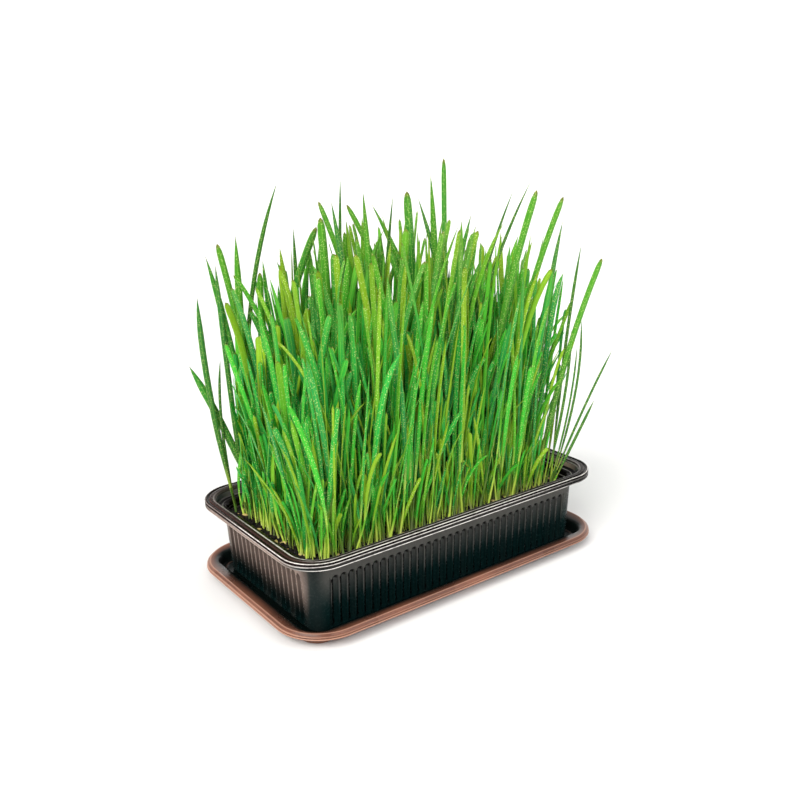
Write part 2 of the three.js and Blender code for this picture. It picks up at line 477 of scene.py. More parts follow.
@dataclass(frozen=True)
class FluteOutlines:
    """The shade along a flute's edge: its left side, its head and a little of its right side.

    Places across are shares of the flute's half width. Places below the head are in metres.
    """

    flutes: Flutes = Flutes()
    radius: float = 1.7 * MM
    left_inner: Fade = (-0.05, -0.4)
    left_outer: Fade = (-1.3, -1.15)
    right_inner: Fade = (0.75, 0.9, 0.0, 0.3)
    right_outer: Fade = (1.15, 1.0)
    head_upper: Fade = (-0.3 * MM, 0.0)
    head_lower: Fade = (2.2 * MM, 1.2 * MM)
    head_right: Fade = (1.0, 0.6)
    foot_length: float = 2 * MM

    def shown(self, shader: Shader, across: Any, height: Any) -> Any:
        """Where the outlines show.

        Args:
            shader: The finish that they are part of.
            across: How far across its flute the point is.
            height: The point's height.

        Returns:
            The socket with a value from 0 to 1.
        """
        flutes = self.flutes
        below = below_head(shader, across, height, flutes.top, self.radius)
        left = shader.product(shader.span(across, *self.left_inner), shader.span(across, *self.left_outer))
        right = shader.product(shader.span(across, *self.right_inner), shader.span(across, *self.right_outer))
        upper = shader.span(below, *self.head_upper)
        sides = shader.product(shader.sum("MAXIMUM", left, right), upper)
        head = shader.product(upper, shader.span(below, *self.head_lower))
        head = shader.product(head, shader.span(across, *self.head_right))
        foot = shader.span(height, flutes.foot, flutes.foot + self.foot_length)
        return shader.product(shader.sum("MAXIMUM", sides, head), foot)


@dataclass(frozen=True)
class TrayPlastic:
    """Glossy vacuum-formed plastic, brown on the rim and scuffed, with painted light and shade in its colour:
    paler and browner on the lit end walls, painted shade towards the foot, in the hollows and grooves, and
    painted highlight lines on the rim.

    Fades along, across and up the tray are in metres. A fade by the end runs from the long sides, 0, to
    the short ones, 1.
    """

    top: float = TRAY_TOP
    flutes: Flutes = Flutes()
    outlines: FluteOutlines = FluteOutlines()
    gloss: float = 0.05

    # The crown's colour on the long sides and on the short ones: one plastic, with painted light and shade
    # that differ between the sides.
    rim: Colour = tint(50, 42, 38)
    rim_end: Colour = tint(62, 42, 38)
    # The walls' colour on the long sides, and that of the end walls, paler and browner as painted light where
    # the key light falls on them.
    wall: Colour = tint(78, 77, 74)
    wall_end: Colour = tint(148, 129, 120)
    # Painted shade: the dark teal that the walls darken to towards the foot and in the flutes' hollows.
    foot: Colour = tint(8, 28, 28)
    # Painted shade where the walls turn round the corners and along the end walls' edges.
    corner: Colour = tint(24, 33, 33)
    # Painted shade: in the rim's grooves, on its inner wall, along the flutes' edges and towards the tray's
    # right end.
    shade_colour: Colour = tint(5, 5, 5)
    # Painted highlights: the pale lines along the rim's beads and edges.
    painted_highlight: Colour = tint(238, 233, 229)

    # Where the walls' painted light and shade fall: the lit end walls, the shade towards the foot, the ridges
    # between the flutes kept lit, the shaded corners and end-wall edges, and the shade in the flutes' hollows
    # and along their edges.
    end_walls: Fade = (0.7, 0.98)
    end_lower: float = 8 * MM
    wall_to_foot: Fade = (34.5 * MM, 14.5 * MM)
    wall_curve: float = 0.75
    ridge: Fade = (1.0, 1.2, 0.0, 0.5)
    ridge_rise: Fade = (13 * MM, 20 * MM)
    corner_gain: float = 3.4
    plain_edges: Fade = (34 * MM, 42 * MM, 0.0, 0.5)
    hollow_by_end: Fade = (0.0, 1.0, 0.2, 0.08)
    outline_by_end: Fade = (0.0, 1.0, 1.0, 0.6)

    # Where the crown's colour lies, and where the rim's painted shade and highlights fall: shade on its inner
    # wall and towards the right end, and highlights that fade towards the right end and towards the back.
    crown: Fade = (-1.6 * MM, -0.2 * MM)
    inside: Fade = (5.8 * MM, 6.5 * MM)
    inside_share: float = 0.9
    far_rim: Fade = (30 * MM, 85 * MM, 0.0, 0.8)
    far_lines: Fade = (20 * MM, 90 * MM)
    line_core: float = 0.35
    highlight_across: Fade = (25 * MM, -5 * MM, 0.25, 1.0)

    streaks: Grain = Grain(140, 4, (1, 1, 0.12))
    streak_share: float = 0.25
    patches: Grain = Grain(420, 3)
    patch_share: Fade = (0.3, 0.6, 0.55, 1.0)
    scuffs: Grain = Grain(700, 5)
    scuff_roughness: Fade = (0.4, 0.8, 0.22, 0.37)
    relief: Grain = Grain(500, 3)
    relief_depth: float = 0.02 * MM

    def lines(self, shader: Shader, place: Any, end: Any, along: Any, stripes: Sequence[Stripe]) -> Any:
        """Where the stripes show.

        Args:
            shader: The finish that they are part of.
            place: The place round the section, in millimetres.
            end: 1 at the short sides and 0 at the long ones.
            along: The place along the tray.
            stripes: The stripes.

        Returns:
            The socket with a value from 0 to 1.
        """
        shown: Any = 0.0
        for stripe in stripes:
            middle = shader.span(end, 0.0, 1.0, *stripe.place)
            away = shader.sum("ABSOLUTE", shader.sum("SUBTRACT", place, middle))
            line = shader.span(away, stripe.half, stripe.half * self.line_core)
            line = shader.product(line, shader.span(end, 0.0, 1.0, *stripe.share))
            line = shader.product(line, shader.span(along, *self.far_lines, 1.0, stripe.far))
            shown = shader.sum("MAXIMUM", shown, line)
        return shader.product(shown, shader.carried("rim"))

    def walls(self, shader: Shader, spot: Any, across: Any, end: Any) -> Any:
        """The walls' colour, with painted light and shade: paler and browner on the lit end walls, painted
        shade that turns them black at the foot, ridges between the flutes kept lit, and shaded corners.

        Args:
            shader: The finish that it is part of.
            spot: The sockets with the point's place.
            across: How far across its flute the point is.
            end: 1 at the short sides and 0 at the long ones.

        Returns:
            The socket with the colour.
        """
        streaks = shader.grain(self.streaks)
        on_end = shader.span(end, *self.end_walls)
        lowered = shader.sum("ADD", spot["Z"], shader.product(on_end, self.end_lower))
        ridge = shader.span(shader.sum("ABSOLUTE", across), *self.ridge)
        ridge = shader.product(ridge, shader.carried("fluted"))
        ridge = shader.product(ridge, shader.span(spot["Z"], *self.ridge_rise))
        low = shader.sum("POWER", shader.span(lowered, *self.wall_to_foot), self.wall_curve)
        low = shader.product(low, shader.sum("SUBTRACT", 1.0, ridge))
        uneven = shader.product(shader.sum("SUBTRACT", streaks, MIDDLE), self.streak_share)
        low = shader.sum("ADD", low, uneven, True)
        body = shader.blend(low, shader.blend(on_end, self.wall, self.wall_end), self.foot)
        turned = shader.product(end, shader.sum("SUBTRACT", 1.0, end))
        turned = shader.product(turned, self.corner_gain, True)
        plain = shader.span(shader.sum("ABSOLUTE", spot["Y"]), *self.plain_edges)
        return shader.layered(body, ((turned, self.corner), (shader.product(plain, on_end), self.corner)))

    def material(self) -> bpy.types.Material:
        """Builds the finish.

        Returns:
            The material.
        """
        shader = Shader("tray_plastic", self.gloss)
        end = shader.carried("end")
        rim = shader.carried("rim")
        inset = shader.carried("inset")
        spot = shader.node("ShaderNodeSeparateXYZ", {0: shader.place()}).outputs
        across = across_flute(shader, shader.carried("phase"), self.flutes.half)
        place = shader.sum("ADD", inset, shader.sum("SUBTRACT", spot["Z"], self.top))
        crown = shader.product(shader.span(place, *self.crown), rim)
        far = shader.product(shader.span(spot["X"], *self.far_rim), rim)
        inside = shader.product(shader.span(inset, *self.inside), rim)
        hollow_shade = shader.product(shader.carried("hollow"), shader.span(end, *self.hollow_by_end))
        place = shader.product(place, 1 / MM)
        edges = shader.product(self.outlines.shown(shader, across, spot["Z"]), shader.carried("fluted"))
        edges = shader.product(edges, shader.span(end, *self.outline_by_end))
        dark = shader.sum("MAXIMUM", edges, self.lines(shader, place, end, spot["X"], RIM_SHADE_LINES))
        patchy = shader.span(shader.grain(self.patches), *self.patch_share)
        pale = shader.product(self.lines(shader, place, end, spot["X"], HIGHLIGHT_LINES), patchy)
        pale = shader.product(pale, shader.span(spot["Y"], *self.highlight_across))
        # Over the walls go the crown's colour, then painted shade towards the right end, on the rim's inner
        # wall, in the flutes' hollows, in the grooves and along the flutes' edges, and last the painted
        # highlight lines, broken up by noise.
        layers = (
            (crown, shader.blend(end, self.rim, self.rim_end)),
            (far, self.shade_colour),
            (shader.product(inside, self.inside_share), self.shade_colour),
            (hollow_shade, self.foot),
            (dark, self.shade_colour),
            (pale, self.painted_highlight),
        )
        shader.set("Base Color", shader.layered(self.walls(shader, spot, across, end), layers))
        shader.set("Roughness", shader.span(shader.grain(self.scuffs), *self.scuff_roughness))
        shader.emboss(shader.grain(self.relief), self.relief_depth)
        return shader.material


@dataclass(frozen=True)
class SaucerPlastic:
    """Copper-brown plastic, with painted shade that makes it almost black inside the pan, and painted
    highlights on its crown and lip that are weaker towards its right end.

    It is more shaded towards its right end; those fades are in metres along it.
    """

    gloss: float = 0.3
    bright: Colour = tint(132, 84, 64)
    dull: Colour = tint(98, 62, 49)
    shaded: Colour = tint(60, 38, 33)
    # Painted shade: the near-black inside the pan.
    pan_shade: Colour = tint(8, 17, 15)
    # Painted highlights on the saucer's crown and along its lip.
    painted_highlight: Colour = tint(200, 154, 132)
    clouds: Grain = Grain(30, 4)
    cloudy: Fade = (0.35, 0.7)
    cloud_roughness: Fade = (0.3, 0.8, 0.25, 0.4)
    streaks: Grain = Grain(260, 4, (0.2, 1, 1))
    streaky: Fade = (0.5, 0.8, 0.0, 0.5)
    shaded_along: Fade = (-20 * MM, 80 * MM, 0.0, 0.55)
    # Painted highlights, weaker towards the right end.
    highlight_along: Fade = (0.0, 80 * MM, 0.66, 0.5)
    relief: Grain = Grain(380, 3)
    relief_depth: float = 0.02 * MM

    def material(self) -> bpy.types.Material:
        """Builds the finish.

        Returns:
            The material.
        """
        shader = Shader("saucer_plastic", self.gloss)
        clouds = shader.grain(self.clouds)
        streaks = shader.grain(self.streaks)
        along = shader.node("ShaderNodeSeparateXYZ", {0: shader.place()}).outputs["X"]
        # Random clouds and streaks of the plastic's tone, then painted shade towards the right end, painted
        # highlights, and painted shade inside the pan.
        layers = (
            (shader.span(clouds, *self.cloudy), self.bright),
            (shader.span(streaks, *self.streaky), self.bright),
            (shader.span(along, *self.shaded_along), self.shaded),
            (shader.product(shader.carried("painted_highlight"), shader.span(along, *self.highlight_along)), self.painted_highlight),
            (shader.carried("pan"), self.pan_shade),
        )
        shader.set("Base Color", shader.layered(self.dull, layers))
        shader.set("Roughness", shader.span(clouds, *self.cloud_roughness))
        shader.emboss(shader.grain(self.relief), self.relief_depth)
        return shader.material


class Tone(Enum):
    """The greens that the leaves come in: name, colour with painted shade, as deep in the sward, and colour
    with painted light, as at its top.
    """

    DEEP = ("deep", tint(0, 140, 70), tint(0, 168, 64))
    MID = ("mid", tint(0, 162, 56), tint(44, 188, 48))
    LIME = ("lime", tint(72, 180, 40), tint(146, 186, 32))


@dataclass(frozen=True)
class LeafFinish:
    """A fresh leaf: fine veins, a pale midrib and foot, a browned tip, and specks of dew as painted
    highlights; its colour has painted light and shade, darker deep in the sward and yellower where painted
    sunlit towards its top.

    Fades along the leaf run from its foot, 0, to its tip, 1, and those across from its midrib, 0, to
    its margins, 1. The rise is in metres over the ground.
    """

    tone: Tone
    gloss: float = 0.16
    foot: Colour = tint(206, 230, 96)
    vein: Colour = tint(150, 220, 78)
    # Dark green for the furrows between the veins, and for painted shade where a leaf gets little painted
    # light.
    furrow_and_shade: Colour = tint(0, 92, 34)
    sunlit: Colour = tint(112, 142, 20)
    browned: Colour = tint(112, 92, 34)
    dusk: Colour = tint(54, 68, 12)
    # Painted highlights of the drops of dew.
    dew: Colour = tint(228, 240, 150)

    patches: Grain = Grain(60, 3, (1, 1, 0.3))
    patch_roughness: Fade = (0.3, 0.75, 0.32, 0.5)
    # How the leaf's colour is painted lit and shaded: lighter towards its tip and by its own shade, darker
    # deep in the sward, yellower where painted sunlit near the sward's top, and dark olive where its own
    # shade is low.
    along_weight: float = 0.5
    patch_weight: float = 0.5
    own_light: Fade = (-1.0, 1.0, -0.9, 0.65)
    sunny: Fade = (0.4, 1.2)
    shady: Fade = (0.25, -0.1, 0.0, 0.75)
    sunlit_rise: Fade = (120 * MM, 210 * MM, 0.0, 0.85)
    sunlit_light: Fade = (0.1, 0.6)
    dusky: Fade = (-0.05, -0.3, 0.0, 0.45)

    veins: float = 9.0
    pale_veins: Fade = (0.2, 1.0, 0.0, 0.26)
    dark_furrows: Fade = (-0.2, -1.0, 0.0, 0.3)
    midrib: Fade = (0.0, 0.16, 0.4, 0.0)
    margins: Fade = (0.75, 1.0, 0.0, 0.65)
    pale_foot: Fade = (0.0, 0.24, 0.9, 0.0)
    brown_tip: Fade = (0.975, 1.0, 0.0, 0.8)

    # Specks of dew: the drops' glints painted as pale specks.
    beads_per_metre: float = 1050.0
    bead: Fade = (0.22, 0.34, 1.0, 0.0)
    dew_share: float = 0.65
    vein_height: float = 0.3
    relief_depth: float = 0.12 * MM
    relief_strength: float = 0.8

    def light(self, shader: Shader, along: Any, patches: Any, shade: Any) -> Any:
        """How much painted light a point gets: more towards the tip, unevenly, and by the leaf's own shade.

        Args:
            shader: The finish that it is part of.
            along: How far along the leaf the point is.
            patches: The uneven part.
            shade: The leaf's own shade.

        Returns:
            The socket with the light.
        """
        by_place = shader.product(along, self.along_weight)
        by_patch = shader.product(patches, self.patch_weight)
        return shader.sum("ADD", shader.sum("ADD", by_place, by_patch), shader.span(shade, *self.own_light))

    def material(self) -> bpy.types.Material:
        """Builds the finish.

        Returns:
            The material.
        """
        name, lower, upper = self.tone.value
        shader = Shader(f"leaf_{name}", self.gloss)
        along = shader.carried("along")
        across = shader.carried("across")
        shade = shader.carried("shade")
        patches = shader.grain(self.patches)
        light = self.light(shader, along, patches, shade)
        height = shader.node("ShaderNodeSeparateXYZ", {0: shader.place()}).outputs["Z"]
        high = shader.product(shader.span(height, *self.sunlit_rise), shader.span(light, *self.sunlit_light))
        ribs = shader.sum("COSINE", shader.product(across, self.veins * math.pi))
        middle = shader.sum("ABSOLUTE", across)
        beads = shader.node("ShaderNodeTexVoronoi", {"Vector": shader.place(), "Scale": self.beads_per_metre})
        wet = shader.product(shader.span(beads.outputs["Distance"], *self.bead), shader.carried("dew"), True)
        # The first four layers paint light and shade; then come the veins, midrib, margins, foot, tip and the
        # dew's painted highlights.
        layers = (
            (shader.span(light, *self.sunny), upper),
            (shader.span(light, *self.shady), self.furrow_and_shade),
            (high, self.sunlit),
            (shader.span(shade, *self.dusky), self.dusk),
            (shader.span(ribs, *self.pale_veins), self.vein),
            (shader.span(ribs, *self.dark_furrows), self.furrow_and_shade),
            (shader.span(middle, *self.midrib), self.vein),
            (shader.span(middle, *self.margins), self.vein),
            (shader.span(along, *self.pale_foot), self.foot),
            (shader.span(along, *self.brown_tip), self.browned),
            (shader.product(wet, self.dew_share), self.dew),
        )
        shader.set("Base Color", shader.layered(lower, layers))
        shader.set("Roughness", shader.span(patches, *self.patch_roughness))
        relief = shader.sum("ADD", shader.product(ribs, self.vein_height), wet)
        shader.emboss(relief, self.relief_depth, self.relief_strength)
        return shader.material


@dataclass(frozen=True)
class StemFinish:
    """A young stem: cream where it leaves the grain, then yellow-green, then green.

    Fades run from its foot, 0, to where the leaf starts, 1; the last is by the stem's own shade.
    """

    gloss: float = 0.45
    roughness: float = 0.4
    foot: Colour = tint(234, 230, 160)
    middle: Colour = tint(208, 232, 94)
    top: Colour = tint(104, 186, 44)
    dark: Colour = tint(22, 70, 24)
    own_reach: float = 0.35
    to_middle: Fade = (0.0, 0.25)
    to_top: Fade = (0.4, 0.9)
    to_dark: Fade = (0.55, 0.35, 0.0, 0.85)
    streaks: Grain = Grain(900, 3, (1, 1, 0.08))
    streaky: Fade = (0.4, 0.75, 0.0, 0.3)
    relief_depth: float = 0.08 * MM

    def material(self) -> bpy.types.Material:
        """Builds the finish.

        Returns:
            The material.
        """
        shader = Shader("stem", self.gloss)
        shader.set("Roughness", self.roughness)
        shade = shader.carried("shade")
        own = shader.product(shader.sum("SUBTRACT", shade, MIDDLE), self.own_reach)
        reach = shader.sum("ADD", shader.carried("along"), own)
        streaks = shader.grain(self.streaks)
        layers = (
            (shader.span(reach, *self.to_middle), self.middle),
            (shader.span(reach, *self.to_top), self.top),
            (shader.span(shade, *self.to_dark), self.dark),
            (shader.span(streaks, *self.streaky), self.top),
        )
        shader.set("Base Color", shader.layered(self.foot, layers))
        shader.emboss(streaks, self.relief_depth)
        return shader.material


@dataclass(frozen=True)
class CompostFinish:
    """Moist black compost with browner fibres."""

    gloss: float = 0.3
    wet: Colour = tint(14, 12, 11)
    dry: Colour = tint(52, 40, 30)
    clods: Grain = Grain(260, 6)
    dry_clods: Fade = (0.45, 0.75)
    clod_roughness: Fade = (0.3, 0.7, 0.6, 0.95)
    relief: Grain = Grain(700, 5)
    relief_depth: float = 0.6 * MM

    def material(self) -> bpy.types.Material:
        """Builds the finish.

        Returns:
            The material.
        """
        shader = Shader("compost", self.gloss)
        clods = shader.grain(self.clods)
        shader.set("Base Color", shader.blend(shader.span(clods, *self.dry_clods), self.wet, self.dry))
        shader.set("Roughness", shader.span(clods, *self.clod_roughness))
        shader.emboss(shader.grain(self.relief), self.relief_depth)
        return shader.material


@dataclass(frozen=True)
class GrainFinish:
    """The straw-coloured skin of a sprouted grain."""

    gloss: float = 0.4
    roughness: float = 0.5
    straw: Colour = tint(226, 202, 132)
    brown: Colour = tint(150, 108, 52)
    streaks: Grain = Grain(420, 4)
    streaky: Fade = (0.4, 0.75)
    relief_depth: float = 0.15 * MM

    def material(self) -> bpy.types.Material:
        """Builds the finish.

        Returns:
            The material.
        """
        shader = Shader("grain", self.gloss)
        shader.set("Roughness", self.roughness)
        streaks = shader.grain(self.streaks)
        shader.set("Base Color", shader.blend(shader.span(streaks, *self.streaky), self.straw, self.brown))
        shader.emboss(streaks, self.relief_depth)
        return shader.material


@dataclass(frozen=True)
class DewFinish:
    """Drops of water, their highlights painted into a pale colour, with the leaf's green painted in places as
    if seen through them.
    """

    gloss: float = 0.5
    roughness: float = 0.15
    coat: float = 0.5
    # Painted highlight: the drops' pale colour.
    water: Colour = tint(206, 232, 168)
    # Painted light: the leaf's green as seen through a drop.
    green: Colour = tint(150, 200, 120)
    glint: Grain = Grain(500, 2)
    greener: Fade = (0.3, 0.7, 0.0, 0.2)

    def material(self) -> bpy.types.Material:
        """Builds the finish.

        Returns:
            The material.
        """
        shader = Shader("dew", self.gloss)
        shader.set("Roughness", self.roughness)
        glint = shader.grain(self.glint)
        shader.set("Base Color", shader.blend(shader.span(glint, *self.greener), self.water, self.green))
        shader.set("Coat Weight", self.coat)
        return shader.material


# ---------------------------------------------------------------------------------------------------
# Tray and saucer
# ---------------------------------------------------------------------------------------------------


@dataclass(frozen=True)
class Station:
    """One place round a rounded rectangle: on a corner's arc, or along a straight side."""

    corner: tuple[int, int]
    angle: float
    along: float | None = None
    phase: float = 0.0

    def end(self) -> float:
        """1 at the short sides, 0 at the long ones, and between them round a corner."""
        return math.cos(self.angle) ** 2


@dataclass(frozen=True)
class Ring:
    """A rounded rectangle at one height."""

    length: float
    width: float
    radius: float
    height: float

    def point(self, station: Station) -> Point:
        """Where a station lies on this ring.

        Args:
            station: The station.

        Returns:
            The place, in metres.
        """
        out_x, out_y = math.cos(station.angle), math.sin(station.angle)
        if station.along is not None:
            x = out_x * self.length / 2 - out_y * station.along
            y = out_y * self.width / 2 + out_x * station.along
            return (x, y, self.height)
        x = station.corner[0] * (self.length / 2 - self.radius) + out_x * self.radius
        y = station.corner[1] * (self.width / 2 - self.radius) + out_y * self.radius
        return (x, y, self.height)


CORNERS = ((1, 1), (-1, 1), (-1, -1), (1, -1))

# The share of a side that the rounding of one corner takes up at most, so that two never meet.
MOST_OF_A_SIDE = 0.48


def walk_round(corner_steps: int, sides: Callable[[int], Sequence[tuple[float, float]]]) -> list[Station]:
    """Stations all the way round a rounded rectangle, anticlockwise.

    Args:
        corner_steps: How many steps each corner's arc takes.
        sides: For a side's number, each place along it with its phase.

    Returns:
        The stations.
    """
    stations = []
    for index, corner in enumerate(CORNERS):
        for step in range(corner_steps + 1):
            angle = (index + step / corner_steps) * math.pi / 2
            stations.append(Station(corner, angle))
        for along, phase in sides(index):
            stations.append(Station(corner, (index + 1) * math.pi / 2, along, phase))
    return stations


def softened(outline: Sequence[tuple[float, float]], radius: float, steps: int) -> list[tuple[float, float]]:
    """An outline with its corners rounded.

    Args:
        outline: The open outline's corners.
        radius: How far from a corner the rounding starts, at most.
        steps: How many points each corner gets.

    Returns:
        The rounded outline.
    """
    points = [Vector(spot) for spot in outline]
    soft = [points[0]]
    for before, here, after in zip(points, points[1:], points[2:]):
        back, ahead = before - here, after - here
        start = here + back.normalized() * min(radius, back.length * MOST_OF_A_SIDE)
        end = here + ahead.normalized() * min(radius, ahead.length * MOST_OF_A_SIDE)
        for step in range(steps + 1):
            share = step / steps
            soft.append(start.lerp(here, share).lerp(here.lerp(end, share), share))
    soft.append(points[-1])
    return [(spot.x, spot.y) for spot in soft]


def loft(name: str, rings: Sequence[Ring], stations: Sequence[Station]) -> bpy.types.Object:
    """A skin over rings, from the middle of the first to the middle of the last, both of them closed.

    Args:
        name: The object's name.
        rings: The rings in order.
        stations: The places that each ring has a point at.

    Returns:
        The new object.
    """
    count = len(stations)
    points = [ring.point(station) for ring in rings for station in stations]
    faces: list[tuple[int, ...]] = [tuple(range(count))[::-1]]
    for row in range(len(rings) - 1):
        for column in range(count):
            after = (column + 1) % count
            low, high = row * count, (row + 1) * count
            faces.append((low + column, low + after, high + after, high + column))
    faces.append(tuple(range((len(rings) - 1) * count, len(rings) * count)))
    mesh = bpy.data.meshes.new(name)
    mesh.from_pydata(points, [], faces)
    mesh.validate()
    return add_object(name, mesh)


def carry(mesh: bpy.types.Mesh, name: str, values: Sequence[float]) -> None:
    """Lets a mesh's points carry numbers under a name."""
    mesh.attributes.new(name, "FLOAT", "POINT").data.foreach_set("value", values)


@dataclass(frozen=True)
class FlutedTray:
    """The growing tray: a rolled, stepped rim and walls with a row of round-headed flutes.

    Marks across a flute are shares of the pitch from its middle. Flutes are counted on a long side and
    on a short one. The bend and the pairs of insets are in millimetres.
    """

    length: float = 200 * MM
    width: float = 118 * MM
    corner: float = 20 * MM
    least_corner: float = 2 * MM
    top: float = TRAY_TOP
    foot: float = 1.5 * MM
    floor: float = 3 * MM
    bend: float = 0.4
    bend_steps: int = 1

    wall_start: float = 7.4 * MM
    wall_end: float = 1.2 * MM
    wall_insets: tuple[float, float] = (12.1, 10.27)
    foot_insets: tuple[float, float] = (12.5, 13.2)
    foot_rise: float = 0.3 * MM

    flutes: Flutes = Flutes()
    counts: tuple[int, int] = (33, 16)
    depth: float = 1.6 * MM
    bluntness: float = 0.45
    head_margin: float = 0.3 * MM
    head_depth: float = 2.6 * MM
    head_ease: float = 0.6 * MM
    foot_ease: float = 1.6 * MM
    inner_marks: tuple[float, ...] = (-0.28, -0.2, 0.0, 0.2)
    inside_edge: float = 0.01
    outside_edge: float = 0.02

    corner_steps: int = 10
    wall_rows: int = 6
    head_rows: int = 9

    def ring(self, inset: float, height: float) -> Ring:
        """The ring that lies this far in from the rim's edge."""
        radius = max(self.corner - inset, self.least_corner)
        return Ring(self.length - 2 * inset, self.width - 2 * inset, radius, height)

    def rim_outline(self) -> list[tuple[float, float]]:
        """The rim's section, from the inner wall over the crown, its bead and the skirt to the outer wall.

        Returns:
            Inset and height of each point.
        """
        top = self.top / MM
        section = [
            (14.4, self.floor / MM - top), (12.2, -5.6), (11.4, -4.2), (7.0, -3.5), (6.3, -2.6), (5.9, -0.1),
            (5.3, 0.65), (4.8, 0.8), (2.6, 0.8), (2.3, 0.45), (1.9, 0.45), (1.6, 0.85), (0.6, 0.85),
            (0.05, 0.45), (0.1, 0.15), (0.5, -0.05), (0.5, -0.4), (0.1, -0.7), (0.0, -1.15), (0.35, -1.4),
            (0.4, -2.2), (0.1, -2.45), (0.05, -2.8), (0.4, -3.05), (1.3, -3.0), (1.9, -2.4), (2.3, -0.7),
            (6.3, -0.85), (6.9, -3.6), (7.6, -4.3), (9.4, -4.7), (10.1, -5.6), (10.25, -7.0),
        ]
        rounded = softened(section, self.bend, self.bend_steps)
        return [(inset * MM, (top + rise) * MM) for inset, rise in rounded]

    def wall_outline(self) -> list[tuple[float, float]]:
        """The outer wall below the rim, with more rows at the flutes' heads.

        Returns:
            Inset and height of each row.
        """
        start, end = self.top - self.wall_start, self.foot + self.wall_end
        crest = self.flutes.top
        head = crest - self.head_depth
        heights = [start, crest + self.head_margin]
        heights += [mixed(crest, head, row / self.head_rows) for row in range(self.head_rows)]
        heights += [mixed(head, end, row / self.wall_rows) for row in range(self.wall_rows + 1)]
        rows = [(mixed(*self.wall_insets, (height - end) / (start - end)) * MM, height) for height in heights]
        outer, inner = self.foot_insets
        return rows + [(outer * MM, self.foot + self.foot_rise), (inner * MM, self.foot)]

    def side_stations(self, side: int) -> list[tuple[float, float]]:
        """Places along a side, close together over each flute, with the flute's phase.

        Args:
            side: The side's number; even sides are the long ones.

        Returns:
            Each place with how many flutes it is from the first.
        """
        count = self.counts[side % 2]
        edge = self.flutes.half
        left = (-MIDDLE, -edge - self.outside_edge, -edge + self.inside_edge)
        marks = (*left, *self.inner_marks, edge - self.inside_edge, edge + self.outside_edge)
        places = [flute + mark for flute in range(count) for mark in marks] + [count - MIDDLE]
        middle = (count - 1) / 2
        return [((place - middle) * self.flutes.pitch, place) for place in places]

    def flute_tree(self) -> Grower:
        """The rule that presses the flutes into the wall: round in section, and round at their heads.

        Returns:
            The tree.
        """
        tree = Grower("press flutes")
        depth = tree.number("Depth", self.depth)
        pitch = tree.number("Pitch", self.flutes.pitch)
        half = tree.number("Half width", self.flutes.half)
        top = tree.number("Top", self.flutes.top)
        foot = tree.number("Foot", self.flutes.foot)
        across = across_flute(tree, tree.carried("phase"), half)
        hollow = tree.sum("SUBTRACT", 1.0, tree.product(across, across), clamp=True)
        spot = tree.node("ShaderNodeSeparateXYZ", {0: tree.node("GeometryNodeInputPosition").outputs[0]})
        height = spot.outputs["Z"]
        below = below_head(tree, across, height, top, tree.product(half, pitch))
        above = tree.sum("SUBTRACT", height, foot)
        reach = tree.product(tree.span(below, 0.0, self.head_ease), tree.span(above, 0.0, self.foot_ease))
        share = tree.product(tree.sum("POWER", hollow, self.bluntness), tree.carried("fluted"))
        share = tree.product(share, reach)
        press = tree.product(share, depth)
        inward = tree.node("ShaderNodeCombineXYZ", {0: tree.carried("in_x"), 1: tree.carried("in_y")})
        offset = tree.node("ShaderNodeVectorMath", {0: inward.outputs[0], "Scale": press}, operation="SCALE")
        # The press's share is kept as hollow, which the finish uses to paint shade in the flutes.
        marked = tree.keep(tree.source.outputs["Geometry"], "hollow", share)
        inputs = {"Geometry": marked, "Offset": offset.outputs[0]}
        tree.close(tree.node("GeometryNodeSetPosition", inputs).outputs[0])
        return tree

    def build(self) -> None:
        """Makes the tray and installs it."""
        stations = walk_round(self.corner_steps, self.side_stations)
        rim, wall = self.rim_outline(), self.wall_outline()
        outline = rim + wall
        base = loft("tray_base", [self.ring(inset, height) for inset, height in outline], stations)
        skirt = min(range(len(rim)), key=lambda row: (rim[row][0] > 1 * MM, rim[row][1]))
        carried: dict[str, list[float]] = {
            name: [] for name in ("phase", "fluted", "rim", "inset", "end", "in_x", "in_y")
        }
        for row, (inset, _) in enumerate(outline):
            for station in stations:
                carried["phase"].append(station.phase)
                carried["fluted"].append(float(row >= len(rim) and station.along is not None))
                carried["rim"].append(float(row <= skirt))
                carried["inset"].append(inset)
                carried["end"].append(station.end())
                carried["in_x"].append(-math.cos(station.angle))
                carried["in_y"].append(-math.sin(station.angle))
        for name, values in carried.items():
            carry(base.data, name, values)
        tray = self.flute_tree().run(base, "fluted_tray", {"Finish": TrayPlastic().material()})
        drop(base)
        install(tray, "tray_plastic", "tray")


@dataclass(frozen=True)
class Band:
    """A stretch of a section, in millimetres."""

    insets: tuple[float, float]
    heights: tuple[float, float]

    def holds(self, inset: float, height: float) -> bool:
        """Whether a point of the section, in metres, lies in the stretch."""
        across = self.insets[0] < inset / MM < self.insets[1]
        return across and self.heights[0] < height / MM < self.heights[1]


